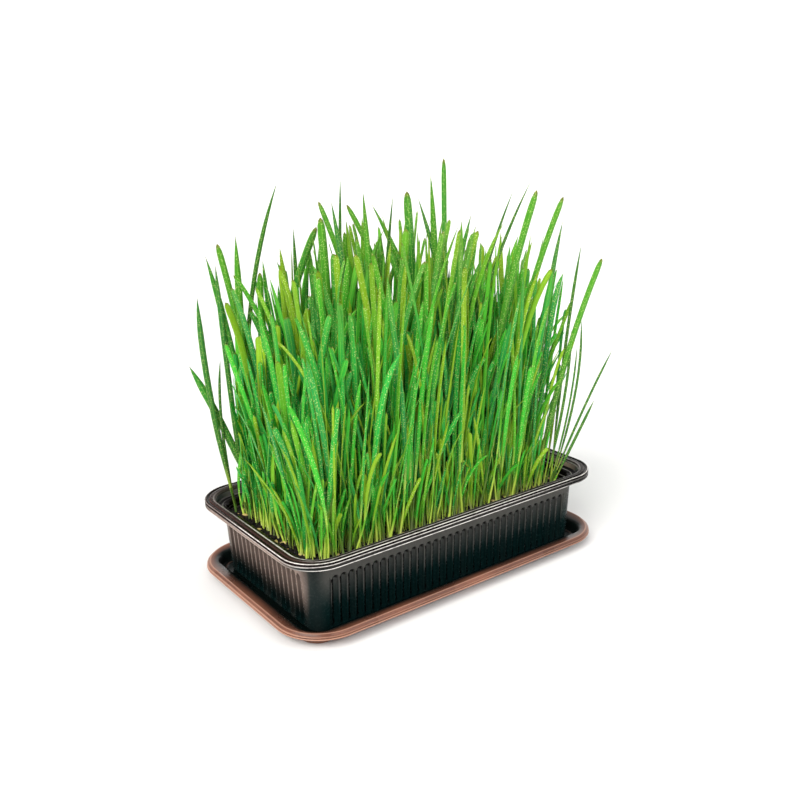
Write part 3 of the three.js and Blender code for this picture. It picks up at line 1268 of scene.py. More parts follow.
@dataclass(frozen=True)
class DripSaucer:
    """The saucer: a broad sloping rim band with a small lip, round a shallow pan.

    The bands are where painted highlights lie and, for the ridge, where the pan's painted shade is lighter.
    The bend is in millimetres.
    """

    length: float = 206 * MM
    width: float = 124 * MM
    corner: float = 26 * MM
    lip_width: float = 4 * MM
    pan_corner: float = 9 * MM
    pan_inset: float = 10.2 * MM
    pan_tightening: float = 0.5
    least_corner: float = 3 * MM
    bend: float = 0.4
    bend_steps: int = 3
    corner_steps: int = 20
    side_steps: int = 24

    # Where painted highlights lie on the crown and on both edges of the lip, and the ridge in the pan, where
    # the painted shade is lighter.
    crown_band: Band = Band((1.7, 2.5), (8.15, 9.0))
    crown_highlight: float = 0.8
    lip_band: Band = Band((-1.0, 1.0), (6.8, 7.3))
    lip_highlight: tuple[float, float] = (0.4, 1.0)
    skirt_band: Band = Band((-1.0, 0.45), (5.6, 6.1))
    ridge_band: Band = Band((11.8, 12.9), (1.8, 9.0))
    # The pan's painted shade: less of it on the ridge, and setting in from the rim towards the pan.
    ridge_shade: float = 0.8
    pan_shade_edge: tuple[float, float] = (2.6 * MM, 8.0 * MM)

    def ring(self, inset: float, height: float) -> Ring:
        """The ring that lies this far in from the lip; the corners get tighter towards the pan.

        Args:
            inset: How far in it lies.
            height: How high it lies.

        Returns:
            The ring.
        """
        share = eased(self.lip_width, self.pan_inset, inset)
        radius = mixed(self.corner - inset, self.pan_corner, share)
        if inset > self.pan_inset:
            tightened = self.pan_corner - (inset - self.pan_inset) * self.pan_tightening
            radius = max(tightened, self.least_corner)
        return Ring(self.length - 2 * inset, self.width - 2 * inset, radius, height)

    def outline(self) -> list[tuple[float, float]]:
        """The saucer's section, from its inner floor over the rim to its underside.

        Returns:
            Inset and height of each point.
        """
        section = [
            (16.0, 1.2), (13.2, 1.2), (12.7, 2.0), (12.0, 2.0), (11.5, 1.2), (10.3, 1.3), (9.6, 5.0),
            (8.9, 6.7), (7.6, 7.4), (2.8, 8.15), (2.1, 8.4), (1.6, 8.1), (1.1, 7.2), (0.6, 7.15),
            (0.3, 6.85), (0.35, 6.6), (0.75, 6.35), (0.7, 6.15), (0.1, 5.9), (0.15, 5.5), (0.6, 5.1),
            (1.5, 5.3), (3.2, 6.4), (7.4, 5.6), (8.7, 0.9), (9.6, 0.0), (13.0, 0.0),
        ]
        rounded = softened(section, self.bend, self.bend_steps)
        return [(inset * MM, height * MM) for inset, height in rounded]

    def highlight_at(self, inset: float, height: float, station: Station) -> float:
        """How much painted highlight a point of the section gets at a station: on the crown and on both edges
        of the lip.

        Args:
            inset: How far in the point is.
            height: How high it is.
            station: The station.

        Returns:
            From 0, not at all, to 1.
        """
        if self.crown_band.holds(inset, height):
            return self.crown_highlight
        if self.lip_band.holds(inset, height):
            return mixed(*self.lip_highlight, station.end())
        return float(self.skirt_band.holds(inset, height))

    def pan_shade_at(self, inset: float, height: float) -> float:
        """How much painted shade darkens a point of the pan: less on the ridge round the tray's foot."""
        share = self.ridge_shade if self.ridge_band.holds(inset, height) else 1.0
        return eased(*self.pan_shade_edge, inset) * share

    def side_stations(self, side: int) -> list[tuple[float, float]]:
        """Evenly spaced places along a side."""
        whole = (self.length, self.width)[side % 2] - 2 * self.corner
        return [(whole * (step / self.side_steps - MIDDLE), 0.0) for step in range(1, self.side_steps)]

    def build(self) -> None:
        """Makes the saucer and installs it."""
        stations = walk_round(self.corner_steps, self.side_stations)
        outline = self.outline()
        saucer = loft("drip_saucer", [self.ring(inset, height) for inset, height in outline], stations)
        crown = max(range(len(outline)), key=lambda row: outline[row][1])
        # The painted shade that each point of the pan carries.
        pan = [self.pan_shade_at(*spot) if row < crown else 0.0 for row, spot in enumerate(outline)]
        carry(saucer.data, "pan", [pan_shade for pan_shade in pan for _ in stations])
        # How much painted highlight each point of the saucer carries.
        painted_highlight = [self.highlight_at(*spot, station) for spot in outline for station in stations]
        carry(saucer.data, "painted_highlight", painted_highlight)
        saucer.data.shade_smooth()
        saucer.data.materials.append(SaucerPlastic().material())
        install(saucer, "saucer_plastic", "saucer")


# ---------------------------------------------------------------------------------------------------
# The turf
# ---------------------------------------------------------------------------------------------------


@dataclass(frozen=True)
class Spine:
    """The centre line of a stem or a leaf, as a cubic curve.

    A line that grows sets out nearly upright. Where it bends over, it has come aside by a share of its
    lean that its curl picks between the two of BENT_ASIDE.
    """

    root: Vector
    rise: Vector
    reach: Vector
    tip: Vector

    FIRST_ASIDE = 0.12
    FIRST_UP = 0.33
    BENT_ASIDE = (0.75, 0.25)
    BENT_UP = 0.78

    def at(self, share: float) -> Vector:
        """A point of the line.

        Args:
            share: How far along it is, from 0 to 1.

        Returns:
            The point.
        """
        rest = 1 - share
        return (
            self.root * rest**3
            + self.rise * 3 * rest * rest * share
            + self.reach * 3 * rest * share * share
            + self.tip * share**3
        )

    @staticmethod
    def grown(
        root: Vector, tip: Vector, curl: float, droop: float = 0.0, stray: Vector = Vector()
    ) -> "Spine":
        """The line of something that grows up from root and bends over to tip.

        Args:
            root: Where it starts.
            tip: Where it ends.
            curl: How late it bends, from 0 to 1.
            droop: How far the line rises above the tip before it comes down again, in metres.
            stray: How far off its line it sets out.

        Returns:
            The line.
        """
        lean = tip - root
        aside = Spine.FIRST_ASIDE
        rise = root + Vector((lean.x * aside, lean.y * aside, lean.z * Spine.FIRST_UP)) + stray
        aside = mixed(*Spine.BENT_ASIDE, curl)
        reach = root + Vector((lean.x * aside, lean.y * aside, lean.z * Spine.BENT_UP + droop))
        return Spine(root, rise, reach, tip)


@dataclass(frozen=True)
class Leaf:
    """One leaf: its line, its size and what it carries."""

    spine: Spine
    half_width: float
    start: float
    facing: float
    twist: float
    tone: Tone
    shade: float
    dew: float
    blunt: bool

    FOOT_WIDTH = 0.3
    FULL_WIDTH_FROM = 0.4
    BLUNT_TIP_FROM = 0.95
    POINTED_TIP_FROM = 0.8
    TIP_WIDTH = 0.04

    def width_at(self, share: float) -> float:
        """Half the leaf's width at a place along it.

        Args:
            share: How far the place is from its foot, 0, to its tip, 1.

        Returns:
            The half width, in metres.
        """
        foot = mixed(self.FOOT_WIDTH, 1.0, eased(0.0, self.FULL_WIDTH_FROM, share))
        start = self.BLUNT_TIP_FROM if self.blunt else self.POINTED_TIP_FROM
        end = max((share - start) / (1 - start), 0.0)
        tip = math.sqrt(max(1 - end * end, 0.0)) if self.blunt else 1 - end**2
        return self.half_width * foot * max(tip, self.TIP_WIDTH)

    def turn_at(self, share: float, ahead: Vector) -> float:
        """The angle it is turned about its line; at its foot its width points along its facing."""
        across = math.atan2(-ahead.x, ahead.y)
        return self.facing - across + self.twist * share


class Strands:
    """Centre lines of stems or leaves, each point with its numbers, as a mesh of loose edges."""

    NAMES = ("half_width", "turn", "along", "shade", "dew")

    def __init__(self) -> None:
        """Starts with no lines."""
        self.points: list[Vector] = []
        self.edges: list[tuple[int, int]] = []
        self.values: dict[str, list[float]] = {name: [] for name in self.NAMES}

    def add(self, points: Sequence[Vector], rows: Sequence[tuple[float, ...]]) -> None:
        """Adds one line.

        Args:
            points: Its points.
            rows: For each point, its numbers in the order of NAMES.
        """
        first = len(self.points)
        self.points.extend(points)
        self.edges.extend((first + step, first + step + 1) for step in range(len(points) - 1))
        for row in rows:
            for name, value in zip(self.NAMES, row):
                self.values[name].append(value)

    def as_object(self, name: str) -> bpy.types.Object:
        """Makes the lines an object for a tree to grow on.

        Args:
            name: The object's name.

        Returns:
            The object.
        """
        mesh = bpy.data.meshes.new(name)
        mesh.from_pydata(self.points, self.edges, [])
        for key, values in self.values.items():
            carry(mesh, key, values)
        return add_object(name, mesh)


def strand_tree() -> Grower:
    """The rule that gives every line a body: a thin folded section for a leaf, a round one for a stem.

    Returns:
        The tree.
    """
    tree = Grower("grow strands")
    corners = tree.number("Corners", 8)
    thickness = tree.number("Thickness", 0.1)
    fold = tree.number("Fold", 0.2)
    line = tree.node("GeometryNodeMeshToCurve", {"Mesh": tree.source.outputs["Geometry"]}).outputs[0]
    inputs = {"Curve": line, "Radius": tree.carried("half_width")}
    line = tree.node("GeometryNodeSetCurveRadius", inputs).outputs[0]
    line = tree.node("GeometryNodeSetCurveTilt", {"Curve": line, "Tilt": tree.carried("turn")}).outputs[0]
    ring = tree.node("GeometryNodeCurvePrimitiveCircle", {"Resolution": corners, "Radius": 1.0}).outputs[0]
    spot = tree.node("ShaderNodeSeparateXYZ", {0: tree.node("GeometryNodeInputPosition").outputs[0]})
    side, front = spot.outputs["X"], spot.outputs["Y"]
    crease = tree.product(tree.sum("SUBTRACT", 1.0, tree.sum("ABSOLUTE", side)), fold)
    flat = tree.sum("SUBTRACT", tree.product(front, thickness), crease)
    shaped = tree.node("ShaderNodeCombineXYZ", {0: side, 1: flat})
    ring = tree.node("GeometryNodeSetPosition", {"Geometry": ring, "Position": shaped.outputs[0]}).outputs[0]
    ring = tree.keep(ring, "across", side)
    sweep = tree.node("GeometryNodeCurveToMesh", {"Curve": line, "Profile Curve": ring, "Fill Caps": True})
    if "Scale" in sweep.inputs:
        tree.plug(tree.carried("half_width"), sweep.inputs["Scale"])
    tree.close(sweep.outputs[0])
    return tree


# How far a lump is tipped over at most, in radians, and what makes it lumpy.
TIPPED = 0.35
LUMP_NOISE = {"Scale": 1.6, "Detail": 2.0}


def scatter_tree() -> Grower:
    """The rule that strews small lumps over a surface, as many as its points ask for.

    Returns:
        The tree.
    """
    tree = Grower("strew lumps")
    density = tree.number("Density", 1000.0)
    seed = tree.number("Seed", 0)
    smallest = tree.number("Smallest", 0.0003)
    largest = tree.number("Largest", 0.0006)
    long = tree.number("Long", 1.0)
    flat = tree.number("Flat", 1.0)
    lumpy = tree.number("Lumpy", 0.0)
    roundness = tree.number("Roundness", 1)
    inputs = {
        "Mesh": tree.source.outputs["Geometry"],
        "Density": tree.product(density, tree.carried("cover")),
        "Seed": seed,
    }
    points = tree.node("GeometryNodeDistributePointsOnFaces", inputs, distribute_method="RANDOM")
    ball = tree.node("GeometryNodeMeshIcoSphere", {"Radius": 1.0, "Subdivisions": roundness}).outputs[0]
    rough = tree.node("ShaderNodeTexNoise", LUMP_NOISE).outputs["Fac"]
    bulge = tree.product(tree.sum("SUBTRACT", rough, MIDDLE), lumpy)
    spot = tree.node("GeometryNodeInputPosition").outputs[0]
    pushed = tree.node("ShaderNodeVectorMath", {0: spot, "Scale": bulge}, operation="SCALE")
    ball = tree.node("GeometryNodeSetPosition", {"Geometry": ball, "Offset": pushed.outputs[0]}).outputs[0]
    turns = {"Min": (-TIPPED, -TIPPED, 0.0), "Max": (TIPPED, TIPPED, 2 * math.pi), "Seed": seed}
    turn = tree.node("FunctionNodeRandomValue", turns, data_type="FLOAT_VECTOR")
    size = tree.node("FunctionNodeRandomValue", data_type="FLOAT")
    for name, value in (("Min", smallest), ("Max", largest), ("Seed", seed)):
        sockets = [socket for socket in size.inputs if socket.name == name and socket.enabled]
        tree.plug(value, sockets[0])
    amount = [socket for socket in size.outputs if socket.enabled][0]
    stretch = tree.node("ShaderNodeCombineXYZ", {0: long, 1: 1.0, 2: flat})
    scale = tree.node("ShaderNodeVectorMath", {0: stretch.outputs[0], "Scale": amount}, operation="SCALE")
    inputs = {
        "Points": points.outputs["Points"],
        "Instance": ball,
        "Rotation": [socket for socket in turn.outputs if socket.enabled][0],
        "Scale": scale.outputs[0],
    }
    tree.close(tree.node("GeometryNodeInstanceOnPoints", inputs).outputs[0])
    return tree


# The ways that lie across and along the view from the front left.
SIDEWAYS = Vector((0.809, -0.588, 0.0))
DEEPER = Vector((0.588, 0.809, 0.0))


@dataclass(frozen=True)
class StandingBlade:
    """A blade that shows against the light above or beside the sward.

    Its places are in millimetres as seen from the front left: how far sideways from the tray's middle
    its root, its bend and its tip are, how high the bend and the tip are, and how deep it stands.
    """

    root: float
    depth: float
    bend: tuple[float, float]
    tip: tuple[float, float]
    width: float
    tone: Tone
    blunt: bool = False

    BEND_REACH = 0.36
    RISE_SHARE = 0.45
    START = 0.06
    TWIST = 0.3
    DEW = 0.6
    BROAD = 2.5
    BROAD_SHADE = -0.3
    NARROW_SHADE = -1.0

    def place(self, side: float, height: float) -> Vector:
        """Where a place of this blade is, in metres."""
        return (SIDEWAYS * side + DEEPER * self.depth + Vector((0, 0, height))) * MM

    def leaf(self, ground: float) -> Leaf:
        """The leaf that stands there.

        Args:
            ground: The height of the compost, in millimetres.

        Returns:
            The leaf.
        """
        root, tip = self.place(self.root, ground), self.place(*self.tip)
        bend = self.place(*self.bend)
        reach = tip + (bend - tip) * (self.BEND_REACH * (tip.z - root.z) / (tip.z - bend.z))
        spine = Spine(root, root.lerp(reach, self.RISE_SHARE), reach, tip)
        facing = math.atan2(SIDEWAYS.y, SIDEWAYS.x)
        shade = self.BROAD_SHADE if self.width > self.BROAD else self.NARROW_SHADE
        half_width = self.width * MM / 2
        return Leaf(
            spine, half_width, self.START, facing, self.TWIST, self.tone, shade, self.DEW, self.blunt
        )


STANDING_BLADES = (
    StandingBlade(-91, -17, (-103, 92), (-102, 155), 3.2, Tone.DEEP),
    StandingBlade(-91, -16, (-98, 88), (-93, 122), 1.5, Tone.DEEP),
    StandingBlade(-78, -14, (-95, 88), (-110, 118), 4.0, Tone.MID),
    StandingBlade(-78, -12, (-91, 150), (-97, 175), 3.4, Tone.MID),
    StandingBlade(-86, -14, (-91, 132), (-92, 171), 2.8, Tone.DEEP),
    StandingBlade(-74, -10, (-85, 153), (-91, 181), 3.3, Tone.LIME, True),
    StandingBlade(-81, -12, (-82, 133), (-81, 185), 3.8, Tone.LIME),
    StandingBlade(-84, -5, (-77, 166), (-59, 211), 2.4, Tone.MID),
    StandingBlade(-73, -5, (-72, 140), (-71, 165), 3.4, Tone.LIME, True),
    StandingBlade(-55, 10, (-54, 168), (-54, 186), 2.4, Tone.MID),
    StandingBlade(-74, 0, (-50, 168), (-41, 187), 3.9, Tone.MID, True),
    StandingBlade(-12, 20, (-34, 180), (-41, 198), 2.9, Tone.LIME, True),
    StandingBlade(-37, -10, (-37, 176), (-38, 193), 4.4, Tone.LIME, True),
    StandingBlade(-18, -12, (-27, 168), (-32, 201), 3.3, Tone.DEEP),
    StandingBlade(-36, 25, (-30, 190), (-29, 211), 1.8, Tone.MID),
    StandingBlade(12, 20, (-18, 181), (-26, 196), 2.9, Tone.LIME, True),
    StandingBlade(-10, -12, (-15, 186), (-16, 206), 3.3, Tone.LIME),
    StandingBlade(26, 30, (-5, 180), (-13, 195), 3.5, Tone.LIME),
    StandingBlade(-14, 10, (-4, 179), (-1, 202), 1.8, Tone.DEEP),
    StandingBlade(12, 0, (8, 166), (6, 204), 4.5, Tone.MID, True),
    StandingBlade(35, 20, (19, 177), (12, 199), 2.9, Tone.DEEP),
    StandingBlade(24, 20, (20, 192), (19, 211), 3.5, Tone.LIME),
    StandingBlade(25, 0, (25, 193), (25, 220), 2.8, Tone.MID, True),
    StandingBlade(19, -12, (33, 175), (38, 193), 3.3, Tone.MID),
    StandingBlade(29, 10, (53, 181), (62, 203), 1.8, Tone.DEEP),
    StandingBlade(25, 0, (58, 185), (70, 209), 1.8, Tone.DEEP),
    StandingBlade(41, -10, (59, 166), (71, 204), 3.8, Tone.LIME, True),
    StandingBlade(50, 5, (73, 163), (87, 199), 3.4, Tone.LIME, True),
    StandingBlade(73, 10, (84, 166), (88, 186), 2.9, Tone.DEEP),
    StandingBlade(86, 14, (96, 153), (99, 173), 1.9, Tone.MID),
    StandingBlade(76, 8, (93, 124), (109, 166), 3.5, Tone.LIME, True),
    StandingBlade(85, 8, (102, 84), (117, 116), 1.5, Tone.DEEP),
    StandingBlade(86, 8, (98, 64), (108, 87), 1.8, Tone.DEEP),
    StandingBlade(85, 8, (103, 85), (99, 134), 1.5, Tone.DEEP),
    StandingBlade(84, 6, (96, 80), (97, 119), 1.2, Tone.MID),
    StandingBlade(82, 8, (94, 87), (94, 127), 1.7, Tone.MID),
    StandingBlade(78, 8, (90, 110), (101, 144), 2.4, Tone.LIME),
)


@dataclass(frozen=True)
class Habit:
    """How one kind of leaf grows.

    The pairs give the least and the most of half its width, in millimetres, and of its curl. Then come
    the most that it twists, in radians, its darkest shade, how often its tip is blunt and its rings.
    """

    half_width: tuple[float, float]
    curl: tuple[float, float]
    twist: float
    darkest: float
    blunt: float
    rings: int


# A second leaf's half width is a share of the first one's.
FIRST_LEAF = Habit((1.0, 2.1), (0.0, 0.9), 1.2, 0.0, 0.45, 12)
SECOND_LEAF = Habit((0.6, 0.95), (0.1, 0.9), 1.2, 0.0, 0.3, 10)
UNDERGROWTH = Habit((0.5, 1.3), (0.0, 0.8), 1.0, 0.1, 0.3, 7)
FRINGE = Habit((0.5, 0.95), (0.0, 0.8), 1.0, 0.1, 0.3, 7)

# What is strewn: how much to the square metre, how large, and of what form.
CRUMBS = {
    "Density": 150000.0, "Seed": 5, "Smallest": 0.5 * MM, "Largest": 1.5 * MM, "Flat": 0.7, "Lumpy": 0.8,
    "Roundness": 1,
}
SOWN_GRAIN = {
    "Density": 46000.0, "Seed": 9, "Smallest": 0.6 * MM, "Largest": 1.3 * MM, "Long": 2.1, "Flat": 0.9,
    "Lumpy": 0.3, "Roundness": 1,
}
DEW_DROPS = {"Density": 3000.0, "Seed": 3, "Smallest": 0.1 * MM, "Largest": 0.2 * MM}

# The bodies that the lines get.
STEM_BODY = {"Corners": 6, "Thickness": 1.0, "Fold": 0.0}
LEAF_BODY = {"Corners": 8, "Thickness": 0.12, "Fold": 0.3}


@dataclass
class Turf:
    """The sward: seedlings on a jittered grid, rooted in a mat of compost, grain and roots.

    A pair gives the least and the most of what is drawn at random, or, where it is named for a way
    along or across the tray, the shares of the way to the sward's edge at which a change sets in and is
    complete. A comment says what any other pair gives. Lengths are in metres where MM stands beside
    them, and otherwise in millimetres.
    """

    seed: int = 7
    columns: int = 44
    rows: int = 24
    ground: float = 36.5 * MM
    margin: float = 4 * MM
    stray: float = 2.6 * MM
    cut_corner: float = 13 * MM
    top: float = 192 * MM

    undergrowth: int = 850
    undergrowth_height: float = 14.0
    fringe: int = 760
    fringe_height: float = 18.0
    fringe_depth: float = 7 * MM
    fringe_reach: float = 0.93
    long_side_chance: float = 0.7
    short_side_reach: float = 0.9
    side_chance: float = 0.5

    # How much lower the sward is at its left end and at its right end.
    drop: tuple[float, float] = (56 * MM, 36 * MM)
    drop_curve: float = 2.6
    # What tips of full height lean by: to the right, and by shares of their place along and across.
    full_height: float = 140 * MM
    lean: Point = (3 * MM, 0.07, 0.1)
    right_lean: float = 0.3
    right_from: float = 35 * MM
    # How far sideways tips go at the left and at the right, as seen from the front left.
    edges: tuple[float, float] = (-84 * MM, 96 * MM)
    pull_in: tuple[float, float] = (0.8, 1.4)
    scatter: float = 13 * MM

    bare_along: tuple[float, float] = (0.55, 0.95)
    bare_front: float = -24 * MM
    # At the front and elsewhere.
    bare_chances: tuple[float, float] = (0.85, 0.05)
    lime_along: tuple[float, float] = (0.5, 0.95)
    slender_along: tuple[float, float] = (0.8, 1.0)
    slender_across: tuple[float, float] = (0.6, 0.9)
    across_share: float = 0.5
    slimmest: float = 0.5

    low_chance: float = 0.25
    low_share: tuple[float, float] = (0.4, 0.7)
    tall_from: float = 0.66
    tall_more: float = 0.34
    tall_curve: float = 1.5
    droop_chance: float = 0.12
    droop: tuple[float, float] = (3, 12)
    set_out: tuple[float, float] = (-9, 9)
    leaf_start: tuple[float, float] = (0.07, 0.18)
    second_chance: float = 0.5
    second_height: tuple[float, float] = (0.35, 0.9)
    second_reach: float = 0.6
    sprout_more: float = 60
    sprout_reach: float = 1.6

    # The lots below which a leaf is deep green and mid green.
    tone_marks: tuple[float, float] = (0.42, 0.78)
    tone_pull: float = 0.25
    usual_reach: float = 0.7
    free_facing: float = 0.5
    # The spread and the middle of the angles that the other leaves face.
    facing: tuple[float, float] = (0.3, -0.6)
    wet_chance: float = 0.6
    wet: tuple[float, float] = (0.7, 1.0)
    dry: tuple[float, float] = (0.0, 0.4)

    stem_rings: int = 6
    stem_radius: tuple[float, float] = (0.5, 0.85)
    stem_taper: float = 0.6
    stem_depth: float = 1.5 * MM
    stem_lap: float = 0.06
    standing_radius: float = 0.7 * MM
    standing_lap: float = 0.07
    standing_rings: int = 18
    ring_crowding: float = 1.7

    corner: float = 8 * MM
    mat_corner_steps: int = 10
    mat_side_steps: int = 24
    mat_rings: int = 26
    mat_reach: float = 0.98
    lumps_per_metre: float = 260
    lump_octaves: int = 3
    lump_height: float = 1.3
    lump_depth: float = 0.6
    strewn_depth: float = 2.4 * MM
    grain_along: tuple[float, float] = (0.2, 1.0)
    # How much grain lies at the left, and how much more at the right end.
    grain_shares: tuple[float, float] = (0.45, 0.55)

    stems: Strands = field(default_factory=Strands)
    leaves: dict[Tone, Strands] = field(default_factory=lambda: {tone: Strands() for tone in Tone})

    def __post_init__(self) -> None:
        """Reads where the compost and the turf are from the CAD model's parts, and starts the random draws.
        """
        self.random = random.Random(self.seed)
        self.half = Vector(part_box("soil")[1][:2])
        self.low, self.high = (Vector(corner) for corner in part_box("turf"))
        self.reach = self.half - Vector((self.margin, self.margin))
        self.strew_tree = scatter_tree()

    def draw(self, low: float, high: float) -> float:
        """A random number from low to high."""
        return self.random.uniform(low, high)

    def happens(self, chance: float) -> bool:
        """Whether something with this chance happens this time."""
        return self.random.random() < chance

    def kept_in(self, spot: Vector) -> Vector:
        """The nearest place to spot that the turf can reach."""
        return Vector(max(low, min(high, value)) for low, value, high in zip(self.low, spot, self.high))

    def tip_over(self, root: Vector, height: float) -> Vector:
        """Where the tip of something that grows at a place comes to lie.

        Args:
            root: Where it stands.
            height: How tall it grows.

        Returns:
            The tip; away from the middle on the whole.
        """
        shift, out_x, out_y = self.lean
        share = height / self.full_height
        spread = self.scatter * math.sqrt(share)
        lean = shift + out_x * root.x + self.right_lean * max(root.x - self.right_from, 0.0)
        x = lean * share + self.random.gauss(0, spread)
        y = out_y * root.y * share + self.random.gauss(0, spread)
        tip = root + Vector((x, y, height))
        side = tip.dot(SIDEWAYS)
        left, right = self.edges
        over = max(side - right, 0.0) + min(side - left, 0.0)
        return self.kept_in(tip - SIDEWAYS * over * self.draw(*self.pull_in))

    def pick_tone(self, reach: float) -> Tone:
        """A tone for a leaf.

        Args:
            reach: How high it reaches; the higher, the more often it is lime, partly as painted light at the
                sward's top.

        Returns:
            The tone.
        """
        lot = self.random.random() + self.tone_pull * (reach - self.usual_reach)
        deep, mid = self.tone_marks
        if lot < deep:
            return Tone.DEEP
        return Tone.MID if lot < mid else Tone.LIME

    def pick_facing(self) -> float:
        """The way a leaf's width points; a little more often along the tray than across it.

        Returns:
            The angle, in radians.
        """
        turn = self.draw(-math.pi, math.pi)
        spread, middle = self.facing
        return turn if self.happens(self.free_facing) else turn * spread + middle

    def pick_dew(self) -> float:
        """How wet a leaf is."""
        return self.draw(*self.wet) if self.happens(self.wet_chance) else self.draw(*self.dry)

    def root_places(self) -> list[Vector]:
        """Where the seedlings stand: a grid, each place strayed from, clear of the tray's corners.

        Returns:
            The places.
        """
        places = []
        for column in range(self.columns):
            for row in range(self.rows):
                x = self.reach.x * (2 * column / (self.columns - 1) - 1) + self.draw(-self.stray, self.stray)
                y = self.reach.y * (2 * row / (self.rows - 1) - 1) + self.draw(-self.stray, self.stray)
                x = max(-self.reach.x, min(self.reach.x, x))
                y = max(-self.reach.y, min(self.reach.y, y))
                if self.reach.x - abs(x) + self.reach.y - abs(y) > self.cut_corner / 2:
                    places.append(Vector((x, y, self.ground)))
        return places

    def edge_place(self) -> Vector:
        """A random place near one of the sward's four edges.

        Returns:
            The place.
        """
        along = self.draw(-self.fringe_reach, self.fringe_reach)
        inward = 1 - self.draw(0, 1) * self.fringe_depth / self.reach.y
        side = -1 if self.happens(self.side_chance) else 1
        if self.happens(self.long_side_chance):
            return Vector((along * self.reach.x, side * inward * self.reach.y, self.ground))
        x = side * (self.reach.x - (1 - inward) * self.reach.y)
        return Vector((x, along * self.short_side_reach * self.reach.y, self.ground))

    def bare_at(self, root: Vector) -> float:
        """How likely it is that nothing grows at a place; most of all at the front of the right end."""
        front, back = self.bare_chances
        return eased(*self.bare_along, root.x / self.reach.x) * (front if root.y < self.bare_front else back)

    def draw_stem(self, spine: Spine, end: float, radius: float) -> None:
        """Adds the stem that runs along the foot of a line.

        Args:
            spine: The line.
            end: The share of it that the stem takes.
            radius: The stem's radius at its foot.
        """
        shade = self.draw(0, 1)
        points, rows = [], []
        for step in range(self.stem_rings):
            share = step / (self.stem_rings - 1)
            points.append(spine.at(share * end))
            rows.append((radius * mixed(1.0, self.stem_taper, share), 0.0, share, shade, 0.0))
        points[0] = points[0] - Vector((0, 0, self.stem_depth))
        self.stems.add(points, rows)

    def draw_leaf(self, leaf: Leaf, rings: int) -> None:
        """Adds a leaf to the lines of its tone.

        Args:
            leaf: The leaf.
            rings: How many rings it has, closest together towards its tip.
        """
        shares = [1 - (1 - ring / (rings - 1)) ** self.ring_crowding for ring in range(rings)]
        points = [leaf.spine.at(mixed(leaf.start, 1.0, share)) for share in shares]
        ahead = points[1] - points[0]
        rows = [
            (leaf.width_at(share), leaf.turn_at(share, ahead), share, leaf.shade, leaf.dew)
            for share in shares
        ]
        self.leaves[leaf.tone].add(points, rows)

    def put_out(
        self, habit: Habit, spine: Spine, half_width: float, reach: float, start: float = 0.0
    ) -> None:
        """Grows one leaf of a kind.

        Args:
            habit: The kind.
            spine: The leaf's line.
            half_width: Half its width.
            reach: How high it reaches, for its tone.
            start: Where along its line it starts.
        """
        leaf = Leaf(
            spine, half_width, start, self.pick_facing(), self.draw(-habit.twist, habit.twist),
            self.pick_tone(reach), self.draw(habit.darkest, 1), self.pick_dew(), self.happens(habit.blunt),
        )
        self.draw_leaf(leaf, habit.rings)

    def slenderness(self, root: Vector) -> float:
        """How slender a seedling is: more so at the right end and along the long sides.

        Args:
            root: Where it stands.

        Returns:
            From 0, not at all, to 1.
        """
        along = eased(*self.slender_along, root.x / self.reach.x)
        across = eased(*self.slender_across, abs(root.y) / self.reach.y)
        return max(along, self.across_share * across)

    def plant(self, root: Vector) -> None:
        """Grows one seedling, where the place isn't bare: a stem, its first leaf, and often a second.

        Args:
            root: Where it stands.
        """
        if self.happens(self.bare_at(root)):
            return
        if self.happens(self.low_chance):
            share = self.draw(*self.low_share)
        else:
            share = self.tall_from + self.tall_more * self.draw(0, 1) ** self.tall_curve
        fall = self.drop[root.x > 0] * abs(root.x / self.reach.x) ** self.drop_curve
        height = (self.top - fall - self.ground) * share
        tip = self.tip_over(root, height)
        droop = self.draw(*self.droop) * MM if self.happens(self.droop_chance) else 0.0
        set_out = Vector((self.draw(*self.set_out), self.draw(*self.set_out), 0)) * MM
        spine = Spine.grown(root, tip, self.draw(*FIRST_LEAF.curl), droop, set_out)
        start = self.draw(*self.leaf_start)
        slimness = mixed(1.0, self.slimmest, self.slenderness(root))
        half_width = self.draw(*FIRST_LEAF.half_width) * slimness * MM
        self.draw_stem(spine, start + self.stem_lap, self.draw(*self.stem_radius) * MM)
        reach = share + eased(*self.lime_along, root.x / self.reach.x)
        self.put_out(FIRST_LEAF, spine, half_width, reach, start)
        if self.happens(self.second_chance):
            self.plant_second(spine, start, half_width)

    def plant_second(self, spine: Spine, start: float, half_width: float) -> None:
        """Grows a second, shorter leaf out of a seedling's stem.

        Args:
            spine: The line of the first leaf.
            start: Where along it the leaf leaves the stem.
            half_width: Half the first leaf's width.
        """
        foot = spine.at(start)
        end = self.tip_over(foot, (spine.tip.z - foot.z) * self.draw(*self.second_height))
        line = Spine.grown(foot, end, self.draw(*SECOND_LEAF.curl))
        self.put_out(SECOND_LEAF, line, half_width * self.draw(*SECOND_LEAF.half_width), self.second_reach)

    def sprout(self, root: Vector, habit: Habit, shortest: float) -> None:
        """Grows one short, thin leaf, where the place isn't bare.

        Args:
            root: Where it stands.
            habit: The kind of leaf.
            shortest: The least height, in millimetres.
        """
        if self.happens(self.bare_at(root)):
            return
        height = self.draw(shortest, 2 * shortest) * MM + self.draw(0, 1) ** 2 * self.sprout_more * MM
        tip = self.tip_over(root, height)
        line = Spine.grown(root - Vector((0, 0, MM)), tip, self.draw(*habit.curl))
        self.put_out(habit, line, self.draw(*habit.half_width) * MM, self.sprout_reach)

